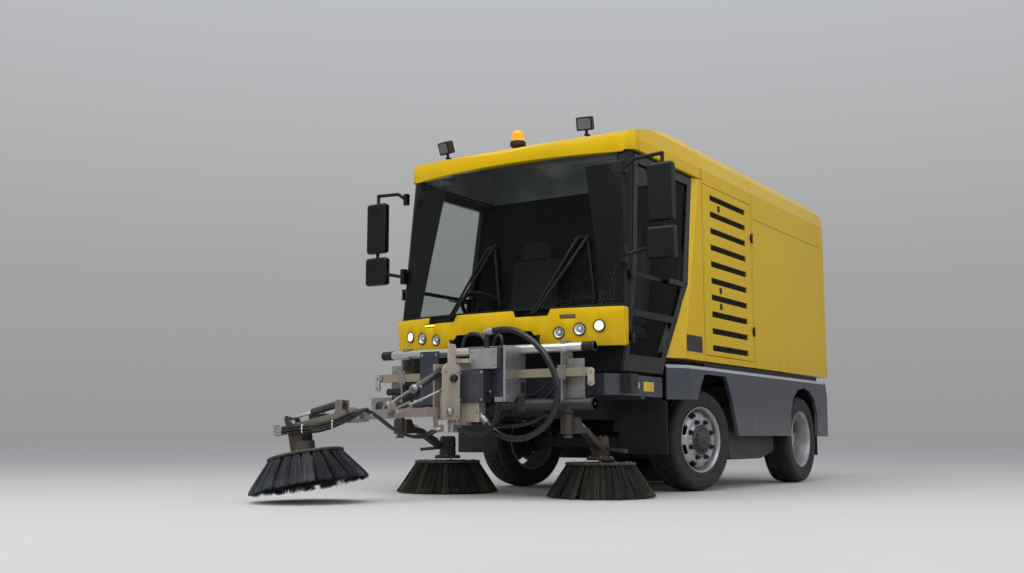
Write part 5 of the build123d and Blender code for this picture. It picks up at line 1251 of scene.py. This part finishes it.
# ------------------------------------------------------------------- mirrors
b = Build()
for s in (1, -1):
    b.box(s * 1196, s * 1372, -1409.5, -1405.5, 1928, 2317, "chrome")
    b.box(s * 1180, s * 1380, -1413.5, -1410.5, 1662, 1868, "chrome")
b.make("mirror_faces", "root", "chrome_rod", bevel=0)

# --------------------------------------------------------------------- seats
def cushion(name, tf, w, d, h, crown, seam_x, seam_y, mat="seat_cloth"):
    """Upholstered pad: crowned, rounded edges, sewn seams sunk into it."""
    nx, ny = 40, 36
    vs, fs = [], []
    for j in range(ny + 1):
        for i in range(nx + 1):
            u, v = i / nx * 2 - 1, j / ny * 2 - 1
            e = (1 - abs(u) ** 6) ** 0.35 * (1 - abs(v) ** 6) ** 0.35
            z = h * 0.45 + h * 0.40 * e + crown * (1 - u * u) * (1 - v * v)
            for sx in seam_x:
                z -= 7 * math.exp(-((u - sx) / 0.022) ** 2) * e
            for sy in seam_y:
                z -= 6 * math.exp(-((v - sy) / 0.022) ** 2) * e
            if seam_x and abs(u) > max(abs(q) for q in seam_x):
                z += 10 * e
            z += 1.2 * noise.noise(Vector((u * 4, v * 4, w / 97.0)))
            vs.append((u * w / 2, v * d / 2, min(z, h)))
    for j in range(ny):
        for i in range(nx):
            a = j * (nx + 1) + i
            fs.append((a, a + 1, a + nx + 2, a + nx + 1))
    # skirt and underside
    base = len(vs)
    ring = ([j for j in range(nx + 1)] +
            [j * (nx + 1) + nx for j in range(1, ny + 1)] +
            [ny * (nx + 1) + i for i in range(nx - 1, -1, -1)] +
            [j * (nx + 1) for j in range(ny - 1, 0, -1)])
    for k in ring:
        x, y, z = vs[k]
        vs.append((x * 0.985, y * 0.985, 4))
    for q in range(len(ring)):
        p = (q + 1) % len(ring)
        fs.append((ring[q], base + q, base + p, ring[p]))
    fs.append(tuple(base + q for q in range(len(ring))))
    b = Build()
    b.add(vs, fs, mat, True, tf)
    # piping along the front edge
    b.tube([tf @ Vector((math.sin(t) * w * 0.46, -d / 2 * 0.98, 10)) for t in
            [q / 12 * math.pi - math.pi / 2 for q in range(13)]], 3.5, "matte_black", 8)
    return b


for k, dx in enumerate((0, 860)):
    side = "right" if k == 0 else "left"
    x0 = -430 + dx
    b = cushion("c", Matrix.Translation((x0, -670, 1190)), 458, 458, 118, 10, (-0.58, 0.58),
                (-0.2, 0.35))
    o = b.make(f"seat_cushion_{side}", "root", "seat_fabric", ("seats",), bevel=0)
    bt = (Matrix.Translation((x0, -400, 1620)) @ Matrix.Rotation(math.radians(-10), 4, "X") @
          Matrix.Translation((0, 54, 0)) @ Matrix.Rotation(math.radians(90), 4, "X"))
    b = cushion("b", bt, 428, 638, 106, 6, (-0.6, 0.6), (-0.45, 0.1, 0.6))
    o = b.make(f"seat_back_{side}", "root", "seat_fabric", ("seats",), bevel=0)
    ht = (Matrix.Translation((x0, -345, 2010)) @ Matrix.Rotation(math.radians(-4), 4, "X") @
          Matrix.Translation((0, 43, 0)) @ Matrix.Rotation(math.radians(90), 4, "X"))
    b = cushion("h", ht, 248, 158, 84, 3, (), (0.0,))
    o = b.make(f"headrest_{side}", "root", "seat_fabric", ("seats",), bevel=0)
    b = Build()
    cx = -430 + dx
    b.box(cx - 170, cx + 170, -840, -500, 945, 990, "matte_black")
    for z in range(990, 1180, 24):
        b.box(cx - 150 + (z % 48) * 0.3, cx + 150 - (z % 48) * 0.3, -810, -530, z, z + 23,
              "matte_black")
    b.box(cx - 180, cx + 180, -840, -500, 1176, 1194, "matte_black")
    for q in (-1, 1):
        b.rod((cx + q * 60, -350, 1890), (cx + q * 60, -346, 1960), 6, "chrome", 12)
        b.rod((cx + q * 200, -850, 1150), (cx + q * 200, -490, 1150), 9, "matte_black", 12)
    b.make(f"seat_frame_{side}", "root", "black_plastic", ("seats",), bevel=2)


# ------------------------------------------- front implement frame, carriage
finish_faces("implement_frame", [
    (-935, 935, -1845, -1690, 400, 1090, "zinc"),
    (-905, 905, -1831, -1769, 834, 896, "tube_tan"),
    (-928, 928, -1801, -1733, 1006, 1074, "bar_steel"),
    (-942, 942, -1842, -1758, 415, 692, "arm_black"),
    (-762, -688, -1762, -1558, 758, 842, "chassis_black"),
    (688, 762, -1762, -1558, 758, 842, "chassis_black"),
    (-412, -344, -1842, -1558, 598, 702, "chassis_black"),
    (344, 412, -1842, -1558, 598, 702, "chassis_black"),
    (-706, -689, -1832, -1688, 638, 1007, "zinc"),
    (689, 706, -1832, -1688, 638, 1007, "zinc"),
    (-722, -658, -1792, -1733, 998, 1087, "zinc"),
    (658, 722, -1792, -1733, 998, 1087, "zinc")])
finish_faces("slide_carriage", [
    (-60, 330, -1858, -1844, 700, 1060, "plate_dark"),
    (-502, -334, -1858, -1844, 662, 1050, "plate_dark"),
    (-340, -60, -1858, -1844, 760, 900, "plate_dark"),
    (-480, -360, -1845, -1829, 842, 888, "matte_black"),
    (-40, 300, -1845, -1829, 842, 888, "matte_black"),
    (-20, 215, -1905, -1858, 905, 1050, "aluminium_plate"),
    (330, 344, -1990, -1735, 668, 1055, "aluminium_plate"),
    (-68, 140, -1962, -1858, 668, 895, "motor_grey"),
    (-100, 90, -1940, -1862, 532, 668, "implement_beige"),
    (-142, 0, -1955, -1844, 880, 978, "implement_beige"),
    (-142, -20, -1955, -1880, 510, 536, "implement_beige"),
    (-124, -60, -2044, -1950, 948, 978, "implement_beige"),
    (-124, -60, -2044, -1950, 510, 536, "implement_beige"),
    (100, 136, -1906, -1868, 1039, 1184, "matte_black"),
    (60, 152, -1912, -1868, 1140, 1190, "matte_black"),
    (60, 118, -1925, -1880, 535, 680, "bolt_steel"),
    (-136, -56, -1999, -1936, 458, 508, "bolt_steel"),
    (262, 332, -2002, -1935, 668, 700, "bolt_steel")])
finish_faces("boom_mast", [
    (56, 88, -80, -20, 805, 862, "matte_black"),
    (-80, 26, -58, -34, 892, 918, "bolt_steel"),
    (-18, 18, -18, 18, 942, 1001, "bolt_steel"),
    (-18, 18, -18, 18, 469, 542, "bolt_steel")], MAST_TF)
finish_faces("boom", [
    (-84, -53, -120, -40, 565, 645, "bolt_steel"),
    (60, 84, -110, -50, 575, 632, "bolt_steel"),
    (40, 58, -560, -500, 575, 620, "bolt_steel"),
    (-22, 64, -152, -122, 460, 514, "bolt_steel"),
    (-6, 104, ELBOW_V + 38, ELBOW_V + 68, 568, 579, "zinc"),
    (-48, -4, ELBOW_V - 22, ELBOW_V + 22, 585, 624, "bolt_steel")], MAST_TF)
finish_faces("outer_arm", [
    (-702, -538, -2824, -2718, 488, 582, "box_black"),
    (-878, -842, -2959, -2860, 430, 506, "bolt_steel")])
finish_faces("front_bumper", [
    (938, 1032, -1452, -1338, 733, 867, "rubber"),
    (-1032, -938, -1452, -1338, 733, 867, "rubber"),
    (944, 987, -1281, -1229, 764, 816, "bar_steel"),
    (-987, -944, -1281, -1229, 764, 816, "bar_steel")])
for s, nm in ((1, "left"), (-1, "right")):
    rules = [(s * 1029, s * 1050, 840, 896, z - 42, z + 42, "black_plastic")
             for z in (1335, 2163)]
    rules += [(s * 1031.4, s * 1038, y - 22, y + 22, z - 26, z + 26, "black_plastic")
              for y, z in ((165, 2302), (171, 1617), (172, 1485))]
    finish_faces("engine_door_" + nm, rules)
    finish_faces("cab_door_" + nm, [
        (s * 1000, s * 1040, -830, -500, 1560, 1620, "rubber")])
finish_faces("engine_housing", [
    (s * 1020, s * 1050, 876, 898, z - 42, z + 42, "black_plastic")
    for s in (1, -1) for z in (1335, 2163)])
finish_faces("front_panel", [
    (-640, -300, -1701, -1559, 1284, 1334, "matte_black"),
    (160, 520, -1701, -1559, 1284, 1334, "matte_black"),
    (-432, 432, -1660, -1425, 1060, 1184, "matte_black")])

b = Build()
for s in (1, -1):
    # sleeves and caps on the bar's ends
    b.lathe(aim((s * 832, BAR_Y, BAR_Z), (s, 0, 0)),
            [(31.2, 0), (35, 1.5), (35, 16), (33.4, 18), (33.4, 84), (34.6, 86),
             (34.6, 91), (30, 93), (0.5, 93)], "matte_black", 40)
    # plugs in the low tube's ends
    b.lathe(aim((s * 926, LOW_Y, LOW_Z), (s, 0, 0)),
            [(41.2, 0), (43.5, 1.5), (43.5, 12), (40, 14), (12, 14), (9, 11), (0.5, 11)],
            "matte_black", 40)
    # clamp bolts, top and front
    for dx in (672, 708):
        b.bolt((s * dx, -1762, 1084.5), (0, 0, 1), 8)
    for z in (1012, 1068):
        b.bolt((s * 690, -1790, z), (0, -1, 0), 7)
    # upright plate: U-bolts round the square tube
    for z in (826, 904):
        b.rod((s * 716, -1838, z), (s * 716, -1752, z), 5.5, "bolt_steel", 12)
        b.rod((s * 676, -1838, z), (s * 676, -1752, z), 5.5, "bolt_steel", 12)
        b.bolt((s * 716, -1832, z), (0, -1, 0), 8)
        b.bolt((s * 676, -1832, z), (0, -1, 0), 8)
    b.box(s * 664, s * 728, -1832.5, -1829.4, 816, 914, "zinc")
    # oval end bracket: bolts
    b.bolt((s * 927, -1838, 866), (0, -1, 0), 9)
    b.bolt((s * 927, -1838, 793), (0, -1, 0), 9)
    # bracket plate: fixings
    for x, z in ((725, 715), (822, 715), (725, 935), (822, 935)):
        b.bolt((s * x, -1772, z), (0, -1, 0), 7)
# motor box: lid line, four bolts, plug
for x, z in ((-52, 686), (122, 686), (-52, 877), (122, 877)):
    b.bolt((x, -1962, z), (0, -1, 0), 8)
b.box(-62, 134, -1966, -1962, 676, 679, "motor_grey")
b.box(-44, 114, -1965.5, -1961, 700, 864, "motor_grey")
b.rod((140, -1915, 742), (166, -1915, 742), 15, "matte_black", 24)
b.bolt((166, -1915, 742), (1, 0, 0), 11, "bolt_steel", False, 8)
# plates: bolts on the tall plate and the channel
for x, z in ((-484, 690), (-354, 690), (-484, 1024), (-354, 1024), (-300, 780),
             (-120, 780), (-300, 880), (-180, 880)):
    b.bolt((x, -1858, z), (0, -1, 0), 8)
for x in (-2, 196):
    for z in (930, 1026):
        b.bolt((x, -1905, z), (0, -1, 0), 7)
# folded edge and strap of the side plate
b.box(341, 348, -1990, -1982, 949, 1053, "aluminium_plate")
b.box(330, 346.5, -1994, -1990, 670, 1053, "aluminium_plate")
for z in (700, 830, 1030):
    b.bolt((344, -1960, z), (1, 0, 0), 7)
# clevis pins of the mast
for z in (978, 536):
    b.lathe(Matrix.Translation((-92, -2012, z)), [(26, 0), (28, 2), (28, 7), (24, 9),
                                                (16.4, 9)], "bolt_steel", 32, caps=False)
# motor box web plate bolts
for x in (-84, 74):
    b.bolt((x, -1940, 600), (0, -1, 0), 9)
# roll and bracket on the vehicle's right
b.rod((-845, -1800, 764), (-706, -1800, 764), 25, "matte_black", 28)
b.lathe(aim((-848, -1800, 764), (1, 0, 0)), [(8, 0), (27, 1), (27, 9), (8, 10)],
        "rubber", 28)
b.box(-1024, -812, -1790, -1783, 612, 724, "zinc")
b.box(-830, -812, -1800, -1740, 612, 724, "zinc")
for x, z in ((-1004, 632), (-1004, 704), (-900, 632)):
    b.bolt((x, -1790, z), (0, -1, 0), 8)
b.make("implement_hardware", "root", "zinc_steel", bevel=1.0)

# ------------------------------------------------------------- boom details
FT = Vector((-27.0, -80.0, 604.0))
EB = Vector((-27.0, ELBOW_V, 568.0))
CTP = Vector((-27.0, -46.0, 905.0))
LGP = FT + (EB - FT) * 0.60 + Vector((0, 0, 62))
b = Build()
# pin heads, grease nipple and washers on the mast
for x, y, z, d in ((-78, -46, 905, -1), (24, -46, 905, 1)):
    b.bolt(mf(x, y, z), MAST_TF.to_3x3() @ Vector((d, 0, 0)), 11)
for y, z in ((-118, 575), (-12, 575), (-118, 880), (-2, 880)):
    b.bolt(mf(66, y, z), MAST_TF.to_3x3() @ Vector((1, 0, 0)), 8)
b.lathe(aim(mf(83.5, -50, 834), MAST_TF.to_3x3() @ Vector((1, 0, 0))),
        [(26, 0), (28, 3), (26, 9), (18, 13), (0.5, 14)], "matte_black", 32, caps=False)
b.make("mast_fixings", "mast_body", "zinc_steel", bevel=0.8)
b = Build()
axis = (LGP - CTP).normalized()
R3 = MAST_TF.to_3x3()
b.lathe(aim(MAST_TF @ (CTP + axis * 300), R3 @ axis),
        [(27.2, 0), (30, 1), (30, 26), (26, 30), (20, 31), (15, 31)], "bolt_steel", 40,
        caps=False)
b.lathe(aim(MAST_TF @ (CTP + axis * 32), R3 @ axis),
        [(27.2, 0), (29.5, 1), (29.5, 10), (27.2, 11)], "box_black", 40)
side = R3 @ Vector((1, 0, 0))
for t in (58, 282):
    c = MAST_TF @ (CTP + axis * t)
    b.rod(c + side * 26, c + side * 40, 10, "bolt_steel", 20)
    b.bolt(c + side * 40, side, 11, "bolt_steel", False, 9)
b.make("lift_cylinder_fittings", "lift_barrel", "zinc_steel", bevel=0.8)
b = Build()
up = R3 @ (EB - FT).normalized().cross(Vector((1, 0, 0))) * -1
if up.z < 0:
    up = -up
for t in (0.16, 0.84):
    c = MAST_TF @ (FT + (EB - FT) * t)
    for q in (-14, 14):
        b.bolt(c + up * 32 + side * q, up, 6)
# cap and bolt on the end of the boom's pin
b.lathe(aim(mf(82, -80, 604), side), [(25, 0), (27, 3), (24, 9), (12, 12), (0.5, 12)],
        "bolt_steel", 32, caps=False)
b.bolt(mf(93, -80, 604), side, 12, "bolt_steel", False, 8)
b.make("boom_fixings", "boom_body", "zinc_steel", bevel=0.8)

b = Build()
# arm: cover strap, bolts and motor flange
for x, y in ((-360, -2817), (-800, -2857)):
    for q in (-26, 26):
        zt = 588 + (478 - 588) * ((x + 305) / (-545.0)) + 20.4
        b.bolt((x, y + q, zt), (-0.2, 0, 1), 7)
for x in (-690, -630, -570):
    b.bolt((x, -2764, 580), (0, 0, 1), 7)
b.rod((-600, -2764, 580), (-600, -2764, 590), 16, "bolt_steel", 24)
b.make("outer_arm_fixings", "outer_arm_body", "zinc_steel", bevel=0.8)

# ---------------------------------------------------- side broom arm details
for s, nm in ((1, "left"), (-1, "right")):
    b = Build()
    # motor cap, fins and bolts
    b.lathe(Matrix.Translation((s * 682, -1267, 0)),
            [(62.5, 300), (66, 302), (66, 312), (62.5, 314)], "arm_black", 48)
    b.lathe(Matrix.Translation((s * 682, -1267, 0)),
            [(62.5, 360), (66, 362), (66, 372), (62.5, 374)], "arm_black", 48)
    b.lathe(Matrix.Translation((s * 682, -1267, 0)),
            [(58, 420), (58, 428), (52, 432), (20, 434), (0.5, 434)], "arm_black", 48,
            caps=False)
    for i in range(6):
        a = math.radians(60 * i)
        b.bolt((s * 682 + 46 * math.cos(a), -1267 + 46 * math.sin(a), 431), (0, 0, 1), 7)
        b.bolt((s * 682 + 86 * math.cos(a), -1267 + 86 * math.sin(a), 284), (0, 0, 1), 8)
    # balance spring along the arm
    p0, p1 = Vector((s * 735, -1640, 512)), Vector((s * 706, -1370, 400))
    d = (p1 - p0).normalized()
    u = d.cross(Vector((0, 0, 1))).normalized()
    w = d.cross(u)
    pts = []
    for q in range(24 * 12 + 1):
        t = q / (24 * 12)
        a = 2 * math.pi * 24 * t
        pts.append(p0.lerp(p1, t) + (u * math.cos(a) + w * math.sin(a)) * 15)
    b.tube(pts, 2.6, "bolt_steel", 6)
    b.rod(p0 - d * 22, p1 + d * 18, 5, "bolt_steel", 12)
    b.box(s * 722, s * 748, -1668, -1655, 488, 528, "arm_black")
    b.make(nm + "_broom_arm_fittings", nm + "_arm_body", "zinc_steel", bevel=0.8)

# ------------------------------------------------------ body trim and plates
line_inside("cab_roof", (0, -800, 2300), (-956, 956, -1441, -229, 2482, 2900), "grey_trim")
line_inside("cab_side_panels", (0, -500, 1800), (-1020, 1020, -740, -100, 1040, 2490),
            "matte_black")
finish_faces("side_skirts", [
    (1040, 1058, -524, 2704, 943, 973, "lip_pale"),
    (-1058, -1040, -524, 2704, 943, 973, "lip_pale"),
    (930, 1058, -722, -515, 943, 973, "lip_pale"),
    (-1058, -930, -722, -515, 943, 973, "lip_pale")], tol=0.8)
b = Build()
for s in (1, -1):
    # black blank plate on the quarter panel, on four feet
    b.box(s * 1032.2, s * 1034.6, -518, -224, 1082, 1209, "blank_black")
    for y in (-508, -234):
        for z in (1092, 1199):
            b.lathe(aim((s * 1034.6, y, z), (s, 0, 0)), [(4, 0), (4, 1), (3, 2), (0.5, 2.2)],
                    "bolt_steel", 16)
b.make("blank_side_plates", "root", "black_plastic", bevel=0.5)
b = Build()
for s in (1, -1):
    # blank adhesive label on the bumper's return and a round marker beside it
    b.box(s * 950.2, s * 951.2, -1100, -935, 756, 824, "label_yellow")
    b.lathe(aim((s * 985, -1255, 790), (s, 0, 0)), [(24, 0), (24, 3), (20, 6), (0.5, 7)],
            "bar_steel", 32, caps=False)
b.make("bumper_markers", "root", "grey_paint", bevel=0.4)

b = Build()
for s in (1, -1):
    # seams on the hopper's side
    b.box(s * 1031.4, s * 1032.7, 915, 2752, 2343.5, 2347.5, "matte_black")
b.make("hopper_side_seams", "hopper_body", "black_plastic", bevel=0)

# --------------------------------------------------------------- rear lamps
b = Build()
for s in (1, -1):
    b.box(s * 620, s * 960, 2821, 2832, 800, 930, "matte_black")
    for x0, x1, mat in ((640, 740, "red_lens"), (748, 840, "amber_lens"),
                        (848, 944, "white_lens")):
        b.box(s * x0, s * x1, 2830, 2842, 812, 918, mat)
    for k in range(4):
        b.bolt((s * (632 + 316 * (k % 2)), 2832, 808 + 114 * (k // 2)), (0, 1, 0), 4,
               "bolt_steel", False)
b.make("rear_lamps", "root", "lamp_glass", bevel=2.0)


# soft edges on the sheet metal and castings
EDGE = {"default": 0.0015, "cab_roof": 0.004, "hopper": 0.003, "engine_housing": 0.003,
        "tailgate": 0.004, "side_skirts": 0.004, "front_panel": 0.003,
        "front_bumper": 0.004, "cab_side_panels": 0.002}
for n, o in NODES.items():
    w = o.modifiers.new("weld", "WELD")
    w.merge_threshold = 0.00002
    b = o.modifiers.new("bevel", "BEVEL")
    b.width = EDGE.get(n, EDGE["default"])
    b.segments = 2
    b.limit_method = "ANGLE"
    b.angle_limit = math.radians(35)
    b.harden_normals = True
    b.use_clamp_overlap = True

# ------------------------------------------------------------------ studio
bpy.ops.mesh.primitive_plane_add(size=80, location=(0, 0, 0))
floor = bpy.context.object
floor.name = "floor"
fm = Mat("floor_pale")
fm.link(fm.mix(fm.noise(0.6, 5, 0.6), srgb(186, 186, 186), srgb(196, 196, 195)),
        fm.b.inputs["Base Color"])
fm.set("Roughness", 0.75)
fm.link(fm.bump(fm.noise(60.0, 5, 0.6), 0.12, 0.002), fm.b.inputs["Normal"])
floor.data.materials.append(fm.m)

world = bpy.data.worlds.new("studio")
scene.world = world
world.use_nodes = True
wn = world.node_tree
wn.nodes.clear()
wout = wn.nodes.new("ShaderNodeOutputWorld")
wbg = wn.nodes.new("ShaderNodeBackground")
wtc = wn.nodes.new("ShaderNodeTexCoord")
wsep = wn.nodes.new("ShaderNodeSeparateXYZ")
wramp = wn.nodes.new("ShaderNodeValToRGB")
wn.links.new(wtc.outputs["Generated"], wsep.inputs[0])
wn.links.new(wsep.outputs[2], wramp.inputs[0])
els = wramp.color_ramp.elements
els[0].position, els[0].color = 0.0, (0.50, 0.50, 0.50, 1)
els[1].position, els[1].color = 0.50, (0.92, 0.95, 1.0, 1)
e = els.new(0.12)
e.color = (0.58, 0.58, 0.58, 1)
wn.links.new(wramp.outputs[0], wbg.inputs["Color"])
wbg.inputs["Strength"].default_value = 0.62
wn.links.new(wbg.outputs[0], wout.inputs[0])


def area(name, loc, target, size, power, colour=(1, 1, 1)):
    d = bpy.data.lights.new(name, "AREA")
    d.shape = "RECTANGLE"
    d.size, d.size_y = size
    d.energy = power
    d.color = colour
    o = bpy.data.objects.new(name, d)
    o.location = loc
    o.rotation_euler = (Vector(target) - Vector(loc)).to_track_quat("-Z", "Y").to_euler()
    scene.collection.objects.link(o)
    return o


area("key_top", (1.0, -4.0, 8.5), (0, 0, 1.0), (9, 9), 640, (1.0, 0.99, 0.97))
area("fill_side", (9.0, -1.0, 4.5), (0, 0.3, 1.2), (8, 5), 170, (0.97, 0.98, 1.0))
fill = area("fill_front", (-2.5, -10.0, 4.0), (0, -1.5, 1.0), (8, 5), 170,
            (1.0, 0.98, 0.96))
fill.visible_glossy = False

scene.view_settings.view_transform = "Standard"
scene.view_settings.look = "None"
scene.view_settings.exposure = 0.0
